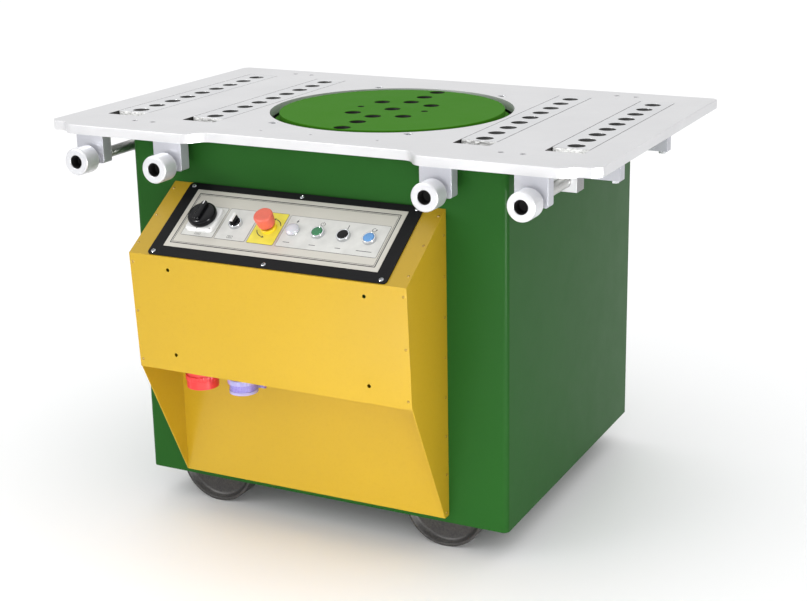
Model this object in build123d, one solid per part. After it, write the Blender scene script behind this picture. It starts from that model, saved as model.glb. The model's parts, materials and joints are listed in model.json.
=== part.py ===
from build123d import *
import os
from math import acos, atan2, cos, degrees, hypot, pi, radians, sin, tan

# Rebar bender. X runs left to right, Y from front to back, Z up. Shapes are drawn with Y measured
# from the front edge of the table and Z from its top face; emit() moves them to the own frame.

# ---- overall sizes, mm
TABLE_D = 813.0
TABLE_T = 20.0
TABLE_H = 850.0
TABLE_SIDE = 113.0
CAB_SETBACK = 52.8
CAB_REAR = 20.4
CAB_WALL = 3.0
CAB_R = 12.0

# ---- clearances
RUN = 0.05
SLIDE_Z = 0.5
PUSH = 0.3
THRUST = 0.4
BOLT_CLR = 0.2
CAB_SCREW_GAP = 4.0

# ---- table outline and holes
TAB_IN = 262.0
TAB_OUT = 562.0
TAB_STEP = 24.0
MID_SETBACK = 35.0
CORNER_SETBACK = 25.0
OUTLINE_R = 30.0
CORNER_CUT = 16.0
REAR_CUT = 10.0
EDGE_CUT = 1.0
DISC_Y = 421.8
OPENING_R = 270.5
TABLE_BOLT_OUT = 18.8
TABLE_BOLT_DEG = 33.6
TABLE_BOLT_R = 6.0
TABLE_HEAD_R = 10.0
TABLE_HEAD_H = 10.0
TABLE_HEAD_DEEP = 1.0
TABLE_BOLT_GRIP = 22.0
STRAP_BOLT_IN = 14.0
PAIR_PITCH = 46.0
PAIR_FRONT_Y = 90.0
PAIR_REAR = 49.0
PAIR_D = 12.0
GAUGE_HOLES_X = (-140.0, -22.0, 132.0)
GAUGE_HOLES_Y = 99.5
GAUGE_D = 6.0

# ---- slide bars and their slots
SLOT_W = 80.0
SLOT_Y0 = 135.0
SLOT_REAR = 95.0
SLOT_R = 3.0
SLOT_INNER = 10.5
BAR_CAB_IN = 113.3
BAR_CAB_OUT = 82.7
BAR_SIDE = 1.5
BAR_DEEP = 50.0
BAR_TRAVEL = 36.0
BAR_END_GAP = 0.5
BAR_FRONT_GAP = 1.0
PIN_D = 36.0
PIN_PITCH = 60.0
PIN_FIRST = 31.0
PIN_EDGE = 1.0
PIN_FLOOR = 2.0
EAR_LAP = 7.5
EAR_T = 11.5
LUG_WALL = 13.0
LUG_L = 42.0
LUG_BELOW = 8.0

# ---- lead screws, their brackets and handwheels
SCREW_IN_OFFSET = 13.5
SCREW_OUT_OFFSET = 12.5
SCREW_DROP = 6.0
SCREW_R = 12.0
SCREW_SPARE = 12.0
COLLAR_LIP = 6.0
COLLAR_T = 8.0
NOSE_STEP = 2.0
NOSE_L = 14.0
BRACKET_W = 68.0
BRACKET_D = 28.0
BRACKET_LIP = 10.5
BRACKET_R = 5.0
WHEEL_OFF = 8.0
HAND_R = 29.0
HAND_L = 42.0
HAND_BORE_R = 14.5
HAND_BORE_L = 26.0
HAND_EDGE = 4.0
HAND_NECK_WALL = 8.0

# ---- guide straps under the bars
STRAP_FRONT = 77.0
STRAP_REAR = 164.5
STRAP_W = 26.0
STRAP_T = 22.0
STRAP_INNER = 14.0
STRAP_OUTER = 29.0
STRAP_SIDE_GAP = 3.5
STRAP_BOLT_R = 5.0
STRAP_HEAD_R = 8.0
STRAP_HEAD_H = 6.0

# ---- bending disc, shaft and drive
DISC_GAP = 21.0
DISC_T = 22.0
RIM_GAP = 6.5
RIM_T = 16.0
DISC_ROW_R = 93.0
DISC_ROW_PITCH = 68.3
DISC_ROW_N = 3
DISC_OFF_DEG = 41.6
DISC_SMALL_X = 79.0
DISC_SMALL_D = 16.0
SHAFT_R = 40.0
SHAFT_FLANGE_OUT = 30.0
SHAFT_FLANGE_T = 16.0
SHAFT_BORE_L = 40.0
BEARING_WALL = 15.0
BEARING_H = 30.0
CASE_SIDE = 30.0
CASE_END = 21.0
CASE_WALL = 12.0
CASE_TOP = 88.0
CASE_H = 142.0
CASE_POST_R = 20.0
BOSS_WALL = 20.0
BOSS_H = 28.0
GEAR_MODULE = 5.0
GEAR_TEETH = 60
PINION_TEETH = 15
GEAR_ADDENDUM = 0.9
GEAR_DEDENDUM = 1.25
GEAR_BACKLASH = 1.2
GEAR_FACE = 50.0
GEAR_DROP = 42.0
GEAR_HUB_WALL = 22.0
GEAR_HUB_H = 8.0
PINION_EXTRA = 3.0
PINION_SHAFT_R = 20.0
PINION_HOLE_GAP = 10.0
PINION_BORE_L = 56.0
REDUCER_FLANGE_W = 17.0
REDUCER_FLANGE_T = 14.0
REDUCER_R = 95.0
REDUCER_H = 170.0
MOTOR_WALL = 14.0
MOTOR_FIN = 8.0
MOTOR_FIN_T = 3.0
MOTOR_FINS = 24
MOTOR_H = 210.0
MOTOR_BORE_R = 70.0
MOTOR_END = 12.0
ROTOR_GAP = 2.0
ROTOR_SHAFT_R = 12.0
ROTOR_INSET = 22.0
FAN_IN = 18.0
FAN_H = 24.0
FAN_BLADES = 8
FAN_BLADE_T = 3.0
FAN_GAP = 14.0
COWL_H = 64.0
COWL_T = 2.0
TERMINAL_W = 90.0

# ---- base frame and running wheels
RAIL_T = 16.0
RAIL_H = 40.0
POST_W = 40.0
POST_T = 3.0
POST_GAP = 1.0
AXLE_X = 280.0
AXLE_R = 12.5
AXLE_UP = 20.7
ROAD_R = 90.0
ROAD_W = 50.0
ROAD_SETBACK = 25.2
ROAD_DISH = 12.0
ROAD_RIM = 6.0
ROAD_HUB_WALL = 15.5
ROAD_TREAD = 22.0
CROSS_GAP = 12.0

# ---- rear service panel
REAR_W = 560.0
REAR_H = 460.0
REAR_TOP = 170.0
REAR_T = 2.0
REAR_LAP = 22.0
REAR_SCREW_R = 3.0
LOUVRE_N = 7
LOUVRE_W = 150.0
LOUVRE_H = 10.0
LOUVRE_PITCH = 24.0

# ---- console
CON_W = 632.3
CON_X = -12.3
CON_T = 2.0
CON_TOP_Z = 114.0
CON_FRONT_Y = -121.8
CON_FRONT_Z = 226.4
CON_LOW_Y = -106.7
CON_LOW_Z = 475.7
CON_TIP_UP = 16.7
RECESS_GAP = 18.0
CON_FLANGE = 16.0
RIVET_R = 2.6
RIVET_H = 0.8
RIVET_IN = 7.5
CHEEK_RIVETS = 8
CHEEK_RIVET_PITCH = 84.3
CHEEK_RIVET_LAST = 9.3
CHEEK_RIVET_IN = 10.0
PLATE_HOLE_IN = 91.65
PLATE_HOLE_Z = (254.0, 439.0)
PLATE_HOLE_D = 8.0

# ---- operator panel, heights measured square to the slope
FRAME_SIDE = 43.65
FRAME_LOW = 2.5
FRAME_HIGH = 2.17
FRAME_T = 3.0
FRAME_R = 8.0
FACE_SIDE = 27.5
FACE_L = 160.0
FACE_UP = 3.0
FACE_T = 1.0
WINDOW_SIDE = 25.0
WINDOW_L = 96.0
PANEL_SCREW_IN = 12.5
PANEL_SCREW_EDGE = 8.5
PANEL_SCREW_R = 5.0
PANEL_SCREW_SHANK = 2.0
SWITCH_IN = 61.0
SELECTOR_STEP = 73.5
STOP_STEP = 77.5
LAMP_STEP = 55.5
BUTTON_PITCH = 57.5
NECK_R = 11.0
NECK_L = 30.0
STEM_WALL = 2.5
BEZEL_LIP = 3.5
BEZEL_H = 8.0
CAP_PROUD = 1.0
CAP_T = 4.0
CAP_TRAVEL = 3.0
STOP_R = 20.0
STOP_HEAD_H = 27.0
STOP_WAIST = 6.0
STOP_TRAVEL = 5.0
STOP_BASE_LIP = 6.0
STOP_BASE_H = 7.0
SWITCH_BASE = 64.0
SWITCH_BASE_H = 10.0
SWITCH_R = 30.5
SWITCH_H = 17.0
GRIP_W = 12.0
GRIP_H = 9.0
LEVER_W = 6.0
LEVER_H = 11.0
BLOCK_W = 30.0
BLOCK_L = 40.0

# ---- sockets under the console
SOCKET_Y = -40.0
INLET_X = -222.0
AUX_X = -121.0
INLET_R = 33.5
INLET_L = 50.0
INLET_WALL = 3.5
INLET_PIN_R = 3.0
INLET_PIN_RING = 15.0
SOCKET_DEEP = 36.0
INLET_PINS = 5
INLET_PIN_L = 28.0
SOCKET_FLANGE_LIP = 4.5
SOCKET_FLANGE_T = 5.0
AUX_R = 29.0
AUX_L = 42.0
FLAP_LIP = 1.0
FLAP_EAR = 12.0
FLAP_T = 6.0
HINGE_R = 3.0
HINGE_BOSS_R = 6.0
HINGE_DROP = 2.0

# ---- values that follow from the sizes above
BAR_IN_X = OPENING_R + SLOT_INNER + SLOT_W / 2
CAB_X = BAR_IN_X + BAR_CAB_IN
BAR_OUT_X = CAB_X + BAR_CAB_OUT
TABLE_W = 2 * (BAR_OUT_X + TABLE_SIDE)
PAIR_X = CAB_X - 6.3
SLOT_Y1 = TABLE_D - SLOT_REAR
PAIR_REAR_Y = TABLE_D - PAIR_REAR
CAB_Y0 = CAB_SETBACK
CAB_Y1 = TABLE_D - CAB_REAR
CAB_Z0 = -TABLE_H + ROAD_R - AXLE_UP
BAR_W = SLOT_W - 2 * BAR_SIDE
EAR_W = SLOT_W + 2 * EAR_LAP
BAR_Y0 = SLOT_Y0 + BAR_FRONT_GAP + BAR_TRAVEL
BAR_Y1 = SLOT_Y1 - BAR_END_GAP
PIN_COUNT = int((BAR_Y1 - BAR_Y0 - 2 * PIN_FIRST) / PIN_PITCH + 1)
STRAP_Y = (BAR_Y0 + STRAP_FRONT, BAR_Y1 - STRAP_REAR)
SCREW_Z = BAR_DEEP + SCREW_R + SCREW_DROP
SCREW_IN_X = BAR_IN_X - SCREW_IN_OFFSET
SCREW_OUT_X = BAR_OUT_X - SCREW_OUT_OFFSET
SCREW_END_Y = BAR_Y0 + LUG_L + SCREW_SPARE
COLLAR_R = SCREW_R + COLLAR_LIP
NOSE_R = SCREW_R - NOSE_STEP
LUG_W = 2 * (SCREW_R + LUG_WALL)
LUG_BOTTOM = SCREW_Z + SCREW_R + LUG_BELOW
BRACKET_H = SCREW_Z + BRACKET_LIP - TABLE_T
HAND_NECK_R = SCREW_R + HAND_NECK_WALL
TABLE_BOLT_X = (OPENING_R + TABLE_BOLT_OUT) * sin(radians(TABLE_BOLT_DEG))
TABLE_BOLT_Y = (OPENING_R + TABLE_BOLT_OUT) * cos(radians(TABLE_BOLT_DEG))
TABLE_BOLT_L = TABLE_T + 2 * TABLE_BOLT_GRIP - 2.0
DISC_R = OPENING_R - DISC_GAP
RIM_R = OPENING_R - RIM_GAP
SHAFT_FLANGE_R = SHAFT_R + SHAFT_FLANGE_OUT
BEARING_R = SHAFT_R + BEARING_WALL
BOSS_R = BEARING_R + BOSS_WALL
CASE_W = 2 * (TABLE_BOLT_X + CASE_SIDE)
CASE_L = 2 * (TABLE_BOLT_Y + CASE_END)
GEAR_TOP = CASE_TOP + GEAR_DROP
GEAR_HUB_R = SHAFT_R + GEAR_HUB_WALL
REDUCER_FLANGE_R = REDUCER_R + REDUCER_FLANGE_W
MOTOR_R = MOTOR_BORE_R + MOTOR_WALL
FAN_R = MOTOR_R - FAN_IN
ROAD_HUB_R = AXLE_R + ROAD_HUB_WALL
CON_TIP_Z = -CAB_Z0 - CON_TIP_UP
FRAME_W = CON_W - 2 * FRAME_SIDE
FACE_W = FRAME_W - 2 * FACE_SIDE
WINDOW_W = FACE_W - 2 * WINDOW_SIDE
PANEL_SCREW_X = FRAME_W / 2 - PANEL_SCREW_IN
PLATE_HOLE_X = CON_W / 2 - PLATE_HOLE_IN
SWITCH_X = SWITCH_IN - FACE_W / 2
SELECTOR_X = SWITCH_X + SELECTOR_STEP
STOP_X = SELECTOR_X + STOP_STEP
LAMP_X = STOP_X + LAMP_STEP
STEM_R = NECK_R - STEM_WALL
BEZEL_R = NECK_R + BEZEL_LIP
CAP_R = NECK_R
STOP_BASE_R = NECK_R + STOP_BASE_LIP
SOCKET_FLANGE = 2 * (INLET_R + SOCKET_FLANGE_LIP)
FLAP_W = 2 * (AUX_R + FLAP_LIP + 1.0)
COLUMNS = {"a": -1, "b": -1, "c": 1, "d": 1}
BAR_X = {"a": -BAR_OUT_X, "b": -BAR_IN_X, "c": BAR_IN_X, "d": BAR_OUT_X}
SCREW_X = {"a": -SCREW_OUT_X, "b": -SCREW_IN_X, "c": SCREW_IN_X, "d": SCREW_OUT_X}
GEAR_R = GEAR_MODULE * GEAR_TEETH / 2
PINION_R = GEAR_MODULE * PINION_TEETH / 2
PINION_Y = DISC_Y + GEAR_R + PINION_R
CASE_Z0 = -CASE_TOP - CASE_H
SHAFT_TOP = -DISC_T - RIM_T
LOWER_BEARING_Z0 = CASE_Z0 - BEARING_H / 2
REDUCER_Z0 = CASE_Z0 - REDUCER_H
MOTOR_Z0 = REDUCER_Z0 - MOTOR_H
CON_X0 = CON_X - CON_W / 2
CON_X1 = CON_X + CON_W / 2
SLOPE_Y = CAB_SETBACK - CON_FRONT_Y
SLOPE_Z = CON_FRONT_Z - CON_TOP_Z
SLOPE_L = hypot(SLOPE_Y, SLOPE_Z)
SLOPE_DEG = degrees(atan2(SLOPE_Z, SLOPE_Y))
FRONT_Y = CON_FRONT_Y
REAR_Y = TABLE_D
Y_MID = (FRONT_Y + REAR_Y) / 2
RECESS_Y = CAB_SETBACK - RECESS_GAP
FRAME_L = SLOPE_L - FRAME_LOW - FRAME_HIGH
FACE_S = FRAME_LOW + FRAME_L / 2 + FACE_UP
DEVICE_S = FACE_S - FACE_UP
PANEL_SCREW_S = (FRAME_LOW + PANEL_SCREW_EDGE, FRAME_LOW + FRAME_L - PANEL_SCREW_EDGE)
FACE_TOP = FRAME_T + FACE_T
BUTTONS = {
    "green": LAMP_X + BUTTON_PITCH,
    "black": LAMP_X + 2 * BUTTON_PITCH,
    "blue": LAMP_X + 3 * BUTTON_PITCH,
}

os.makedirs("parts", exist_ok=True)


def emit(name, shape):
    """Move a shape from the drawing datum to the own frame and write its file."""
    moved = Pos(0, -Y_MID, TABLE_H) * shape
    export_step(moved, os.path.join("parts", name + ".step"))


def block(x0, x1, y0, y1, z0, z1):
    """A box from its six faces."""
    return Pos((x0 + x1) / 2, (y0 + y1) / 2, (z0 + z1) / 2) * Box(x1 - x0, y1 - y0, z1 - z0)


def post(r, z0, z1, x=0.0, y=0.0):
    """A cylinder standing along Z."""
    return Pos(x, y, (z0 + z1) / 2) * Cylinder(r, z1 - z0)


def rod(r, y0, y1, x, z):
    """A cylinder lying along Y."""
    return Pos(x, (y0 + y1) / 2, z) * Rot(90, 0, 0) * Cylinder(r, y1 - y0)


def bar_x(r, x0, x1, y, z):
    """A cylinder lying along X."""
    return Pos((x0 + x1) / 2, y, z) * Rot(0, 90, 0) * Cylinder(r, x1 - x0)


def side_plate(points, x0, x1):
    """A flat plate with its outline in the YZ plane, between two X faces."""
    face = make_face(Polyline([(0, y, z) for y, z in points], close=True))
    solid = extrude(face, amount=x1 - x0, dir=(1, 0, 0))
    return Pos(x0, 0, 0) * solid


def on_slope(x, s, h):
    """Frame on the operator panel: x from the console centre, s up the slope, h square to it."""
    base = Pos(CON_X, CON_FRONT_Y, -CON_FRONT_Z) * Rot(SLOPE_DEG, 0, 0)
    return base * Pos(x, s, h)


def turned(profile):
    """A solid of revolution about Z from (radius, height) points."""
    face = make_face(Polyline([(r, 0, z) for r, z in profile], close=True))
    return revolve(face, axis=Axis.Z)


def group(solids):
    """Separate solids kept together in one file."""
    return Compound(children=list(solids))


# ---- table plate
def table_outline():
    """The table seen from above, with the stepped front edge."""
    w = TABLE_W / 2
    half = [
        (TAB_IN - TAB_STEP, MID_SETBACK),
        (TAB_IN, 0),
        (TAB_OUT, 0),
        (TAB_OUT + TAB_STEP, CORNER_SETBACK),
        (w - CORNER_CUT, CORNER_SETBACK),
        (w, CORNER_SETBACK + CORNER_CUT),
        (w, TABLE_D - REAR_CUT),
        (w - REAR_CUT, TABLE_D),
    ]
    points = half + [(-x, y) for x, y in reversed(half)]
    face = make_face(Polyline([(x, y, 0) for x, y in points], close=True))
    x_lo, x_hi = TAB_IN - TAB_STEP - 1, TAB_OUT + TAB_STEP + 1
    soft = [v for v in face.vertices() if x_lo < abs(v.X) < x_hi and v.Y < TABLE_D / 2]
    return fillet(soft, OUTLINE_R)


def table_plate():
    """The table with its opening, slots and drilled holes."""
    plate = extrude(table_outline(), amount=TABLE_T, dir=(0, 0, -1))
    plate = chamfer(plate.faces().sort_by(Axis.Z)[-1].edges(), EDGE_CUT)
    plate -= post(OPENING_R, -TABLE_T, 0, 0, DISC_Y)
    for x in BAR_X.values():
        slot = block(x - SLOT_W / 2, x + SLOT_W / 2, SLOT_Y0, SLOT_Y1, -TABLE_T, 0)
        plate -= fillet(slot.edges().filter_by(Axis.Z), SLOT_R)
    for sx in (-1, 1):
        for sy in (-1, 1):
            x = sx * TABLE_BOLT_X
            y = DISC_Y + sy * TABLE_BOLT_Y
            plate -= post(TABLE_BOLT_R + BOLT_CLR, -TABLE_T, 0, x, y)
            plate -= post(TABLE_HEAD_R + BOLT_CLR, -TABLE_HEAD_H - TABLE_HEAD_DEEP, 0, x, y)
        for y in (PAIR_FRONT_Y, PAIR_REAR_Y):
            for k in (-1, 1):
                plate -= post(PAIR_D / 2, -TABLE_T, 0, sx * PAIR_X + k * PAIR_PITCH / 2, y)
    for x in GAUGE_HOLES_X:
        plate -= post(GAUGE_D / 2, -TABLE_T, 0, x, GAUGE_HOLES_Y)
    for x, y in strap_bolt_spots():
        plate -= post(STRAP_BOLT_R + BOLT_CLR, -TABLE_T, -TABLE_T + STRAP_BOLT_IN, x, y)
    return plate


def strap_span(name):
    """The X faces of the guide strap below one bar: inner end, outer end."""
    side = COLUMNS[name]
    ear_in = BAR_X[name] - side * (EAR_W / 2 + STRAP_SIDE_GAP)
    ear_out = BAR_X[name] + side * (EAR_W / 2 + STRAP_SIDE_GAP)
    return ear_in - side * STRAP_INNER, ear_in, ear_out, ear_out + side * STRAP_OUTER


def strap_bolt_spots():
    """Where the strap bolts stand."""
    spots = []
    for name in BAR_X:
        a, b, c, d = strap_span(name)
        for y in STRAP_Y:
            spots.append(((a + b) / 2, y))
            spots.append(((c + d) / 2, y))
    return spots


def guide_straps():
    """Eight U-shaped straps that carry the slide bars from below."""
    solids = []
    top = -BAR_DEEP - SLIDE_Z
    for name in BAR_X:
        a, b, c, d = strap_span(name)
        for y in STRAP_Y:
            y0 = y - STRAP_W / 2
            y1 = y + STRAP_W / 2
            one = block(min(a, d), max(a, d), y0, y1, top - STRAP_T, top)
            one += block(min(a, b), max(a, b), y0, y1, top - STRAP_T, -TABLE_T)
            one += block(min(c, d), max(c, d), y0, y1, top - STRAP_T, -TABLE_T)
            for x in ((a + b) / 2, (c + d) / 2):
                one -= post(STRAP_BOLT_R + BOLT_CLR, top - STRAP_T, -TABLE_T, x, y)
            solids.append(one)
    return group(solids)


def strap_bolts():
    """Sixteen bolts that hold the straps up to the table."""
    seat = -BAR_DEEP - SLIDE_Z - STRAP_T
    solids = []
    for x, y in strap_bolt_spots():
        head = Pos(x, y, seat - STRAP_HEAD_H) * extrude(RegularPolygon(STRAP_HEAD_R, 6), STRAP_HEAD_H)
        solids.append(head + post(STRAP_BOLT_R, seat, -TABLE_T + STRAP_BOLT_IN - 1, x, y))
    return group(solids)


def table_bolts():
    """Four socket head screws from the table into the gear case posts."""
    solids = []
    for sx in (-1, 1):
        for sy in (-1, 1):
            x = sx * TABLE_BOLT_X
            y = DISC_Y + sy * TABLE_BOLT_Y
            one = post(TABLE_HEAD_R, -TABLE_HEAD_H - TABLE_HEAD_DEEP, -TABLE_HEAD_DEEP, x, y)
            one += post(TABLE_BOLT_R, -TABLE_BOLT_L, -TABLE_HEAD_H - TABLE_HEAD_DEEP, x, y)
            hexagon = extrude(RegularPolygon(TABLE_BOLT_R, 6), TABLE_BOLT_R)
            solids.append(one - Pos(x, y, -TABLE_HEAD_DEEP - TABLE_BOLT_R) * hexagon)
    return group(solids)


# ---- slide bars, screws, brackets, handwheels
def slide_bar(name):
    """A bar with nine pin holes, side ears under the table and a threaded lug at the front."""
    x = BAR_X[name]
    sx = SCREW_X[name]
    bar = block(x - BAR_W / 2, x + BAR_W / 2, BAR_Y0, BAR_Y1, -BAR_DEEP, 0)
    bar += block(x - EAR_W / 2, x + EAR_W / 2, BAR_Y0, BAR_Y1, -TABLE_T - SLIDE_Z - EAR_T, -TABLE_T - SLIDE_Z)
    bar += block(sx - LUG_W / 2, sx + LUG_W / 2, BAR_Y0, BAR_Y0 + LUG_L, -LUG_BOTTOM, -BAR_DEEP)
    for k in range(PIN_COUNT):
        y = BAR_Y0 + PIN_FIRST + k * PIN_PITCH
        hole = post(PIN_D / 2, -LUG_BOTTOM, 0, x, y)
        if k == 0:
            hole = post(PIN_D / 2, -BAR_DEEP + PIN_FLOOR, 0, x, y)
        bar -= hole
        bar -= Pos(x, y, -PIN_EDGE / 2) * Cone(PIN_D / 2, PIN_D / 2 + PIN_EDGE, PIN_EDGE)
    return bar - rod(SCREW_R + RUN, BAR_Y0, BAR_Y0 + LUG_L, sx, -SCREW_Z)


def adjuster_screw(name):
    """The screw that draws one bar along its slot."""
    x = SCREW_X[name]
    screw = rod(SCREW_R, -WHEEL_OFF, SCREW_END_Y, x, -SCREW_Z)
    screw += rod(COLLAR_R, BRACKET_D + THRUST, BRACKET_D + THRUST + COLLAR_T, x, -SCREW_Z)
    screw += rod(NOSE_R, -WHEEL_OFF - NOSE_L, -WHEEL_OFF, x, -SCREW_Z)
    return screw


def handwheel(name):
    """The round knob on the front end of one screw."""
    x = SCREW_X[name]
    front = -WHEEL_OFF - HAND_L
    body = rod(HAND_R, front, -WHEEL_OFF, x, -SCREW_Z)
    body = chamfer(body.edges().filter_by(GeomType.CIRCLE), HAND_EDGE)
    body += rod(HAND_NECK_R, -WHEEL_OFF, -THRUST, x, -SCREW_Z)
    body -= rod(HAND_BORE_R, front, front + HAND_BORE_L, x, -SCREW_Z)
    body -= rod(SCREW_R, -WHEEL_OFF, 0, x, -SCREW_Z)
    return body - rod(NOSE_R, -WHEEL_OFF - NOSE_L, -WHEEL_OFF, x, -SCREW_Z)


def screw_brackets():
    """Four blocks welded below the front edge of the table, each carrying a screw."""
    solids = []
    for x in SCREW_X.values():
        low = -TABLE_T - BRACKET_H
        one = block(x - BRACKET_W / 2, x + BRACKET_W / 2, 0, BRACKET_D, low, -TABLE_T)
        one = fillet(one.edges().filter_by(Axis.Y).group_by(Axis.Z)[0], BRACKET_R)
        solids.append(one - rod(SCREW_R + RUN, 0, BRACKET_D, x, -SCREW_Z))
    return group(solids)


# ---- disc and drive
def bending_disc():
    """The turning disc with its pin holes and lower rim."""
    disc = post(DISC_R, -DISC_T, 0, 0, DISC_Y)
    disc = chamfer(disc.edges().group_by(Axis.Z)[-1], EDGE_CUT)
    disc += post(RIM_R, SHAFT_TOP, -DISC_T, 0, DISC_Y)
    spots = [(0.0, 0.0)]
    for k in range(DISC_ROW_N):
        r = DISC_ROW_R + k * DISC_ROW_PITCH
        spots += [(0.0, r), (0.0, -r)]
    for sx in (-1, 1):
        for sy in (-1, 1):
            a = radians(DISC_OFF_DEG)
            spots.append((sx * DISC_ROW_R * sin(a), sy * DISC_ROW_R * cos(a)))
    for x, y in spots:
        disc -= post(PIN_D / 2, SHAFT_TOP, 0, x, DISC_Y + y)
        disc -= Pos(x, DISC_Y + y, -PIN_EDGE / 2) * Cone(PIN_D / 2, PIN_D / 2 + PIN_EDGE, PIN_EDGE)
    for sx in (-1, 1):
        disc -= post(DISC_SMALL_D / 2, SHAFT_TOP, 0, sx * DISC_SMALL_X, DISC_Y)
    return disc


def main_shaft():
    """The upright shaft, flanged to the disc."""
    low = LOWER_BEARING_Z0
    shaft = post(SHAFT_FLANGE_R, SHAFT_TOP - SHAFT_FLANGE_T, SHAFT_TOP, 0, DISC_Y)
    shaft += post(SHAFT_R, low, SHAFT_TOP, 0, DISC_Y)
    return shaft - post(PIN_D / 2, SHAFT_TOP - SHAFT_BORE_L, SHAFT_TOP, 0, DISC_Y)


def involute_half(teeth, radius):
    """Half the angle of a tooth at a radius, narrowed by the backlash."""
    pitch = GEAR_MODULE * teeth / 2
    alpha = radians(20)
    base = pitch * cos(alpha)
    at = acos(min(1.0, base / max(radius, base)))
    width = (pi * GEAR_MODULE / 2 - GEAR_BACKLASH) / (2 * pitch)
    return width + (tan(alpha) - alpha) - (tan(at) - at)


def toothed(teeth, first, thick):
    """A spur gear blank with its teeth; first is the angle of one tooth."""
    pitch = GEAR_MODULE * teeth / 2
    root = pitch - GEAR_DEDENDUM * GEAR_MODULE
    tip = pitch + GEAR_ADDENDUM * GEAR_MODULE
    radii = [root, (root + pitch) / 2, pitch, (pitch + tip) / 2, tip]
    points = []
    for k in range(teeth):
        mid = radians(first) + 2 * pi * k / teeth
        for r in radii:
            a = mid - involute_half(teeth, r)
            points.append((r * cos(a), r * sin(a), 0))
        for r in reversed(radii):
            a = mid + involute_half(teeth, r)
            points.append((r * cos(a), r * sin(a), 0))
    return extrude(make_face(Polyline(points, close=True)), amount=thick, dir=(0, 0, -1))


def main_gear():
    """The large gear on the main shaft."""
    gear = Pos(0, DISC_Y, -GEAR_TOP) * toothed(GEAR_TEETH, 90, GEAR_FACE)
    gear += post(GEAR_HUB_R, -GEAR_TOP - GEAR_FACE - GEAR_HUB_H, -GEAR_TOP + GEAR_HUB_H, 0, DISC_Y)
    return gear - post(SHAFT_R, -GEAR_TOP - GEAR_FACE - GEAR_HUB_H, -GEAR_TOP + GEAR_HUB_H, 0, DISC_Y)


def pinion_shaft():
    """The pinion and the reducer's output shaft in one piece."""
    high = -GEAR_TOP + PINION_EXTRA
    thick = GEAR_FACE + 2 * PINION_EXTRA
    gear = Pos(0, PINION_Y, high) * toothed(PINION_TEETH, -90 + 180 / PINION_TEETH, thick)
    return gear + post(PINION_SHAFT_R, CASE_Z0 - PINION_BORE_L, high + 10, 0, PINION_Y)


def gear_case():
    """The open-topped case around the gears, with the lower bearing seat."""
    y0 = DISC_Y - CASE_L / 2
    y1 = DISC_Y + CASE_L / 2
    x = CASE_W / 2
    case = block(-x, x, y0, y1, CASE_Z0, -CASE_TOP - CASE_WALL)
    w = CASE_WALL
    case -= block(-x + w, x - w, y0 + w, y1 - w, CASE_Z0 + w, -CASE_TOP)
    case += post(BOSS_R, CASE_Z0 - BEARING_H / 2, CASE_Z0 + CASE_WALL, 0, DISC_Y)
    case -= post(BEARING_R, CASE_Z0 - BEARING_H / 2, CASE_Z0 + BEARING_H, 0, DISC_Y)
    return case - post(PINION_SHAFT_R + PINION_HOLE_GAP, CASE_Z0, CASE_Z0 + CASE_WALL, 0, PINION_Y)


def gear_case_cover():
    """The lid of the case, with the upper bearing boss and four posts up to the table."""
    y0 = DISC_Y - CASE_L / 2
    y1 = DISC_Y + CASE_L / 2
    x = CASE_W / 2
    lid = block(-x, x, y0, y1, -CASE_TOP - CASE_WALL, -CASE_TOP)
    lid += post(BOSS_R, -CASE_TOP, -CASE_TOP + BOSS_H, 0, DISC_Y)
    lid -= post(BEARING_R, -CASE_TOP - CASE_WALL, -CASE_TOP + BOSS_H, 0, DISC_Y)
    for sx in (-1, 1):
        for sy in (-1, 1):
            px = sx * TABLE_BOLT_X
            py = DISC_Y + sy * TABLE_BOLT_Y
            lid += post(CASE_POST_R, -CASE_TOP, -TABLE_T, px, py)
            lid -= post(TABLE_BOLT_R + BOLT_CLR, -TABLE_BOLT_L - 4, -TABLE_T, px, py)
    return lid


def bearings():
    """The two equal bearings of the main shaft."""
    solids = []
    for low in (-CASE_TOP + BOSS_H - BEARING_H, LOWER_BEARING_Z0):
        ring = post(BEARING_R, low, low + BEARING_H, 0, DISC_Y)
        solids.append(ring - post(SHAFT_R + RUN, low, low + BEARING_H, 0, DISC_Y))
    return group(solids)


def reducer_body():
    """The reducer bolted below the case, between motor and pinion."""
    body = post(REDUCER_FLANGE_R, CASE_Z0 - REDUCER_FLANGE_T, CASE_Z0, 0, PINION_Y)
    body += post(REDUCER_R, REDUCER_Z0, CASE_Z0, 0, PINION_Y)
    body -= post(PINION_SHAFT_R + RUN, CASE_Z0 - PINION_BORE_L - 2, CASE_Z0, 0, PINION_Y)
    return body - post(ROTOR_SHAFT_R + RUN, REDUCER_Z0, REDUCER_Z0 + ROTOR_INSET + 2, 0, PINION_Y)


def motor_body():
    """The finned stator frame with its lower end shield and terminal box."""
    tube = post(MOTOR_R, MOTOR_Z0, REDUCER_Z0, 0, PINION_Y)
    for k in range(MOTOR_FINS):
        t = MOTOR_FIN_T / 2
        fin = block(MOTOR_R - 2, MOTOR_R + MOTOR_FIN, -t, t, MOTOR_Z0 + 12, REDUCER_Z0 - 12)
        tube += Pos(0, PINION_Y, 0) * Rot(0, 0, 360 / MOTOR_FINS * (k + 0.5)) * fin
    far = MOTOR_R + MOTOR_FIN + 40
    w = TERMINAL_W / 2
    mid = (MOTOR_Z0 + REDUCER_Z0) / 2
    tube += block(MOTOR_R - 6, far, PINION_Y - w, PINION_Y + w, mid - w, mid + w)
    tube -= post(MOTOR_BORE_R, MOTOR_Z0 + MOTOR_END, REDUCER_Z0, 0, PINION_Y)
    return tube - post(ROTOR_SHAFT_R + RUN, MOTOR_Z0, MOTOR_Z0 + MOTOR_END, 0, PINION_Y)


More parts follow.
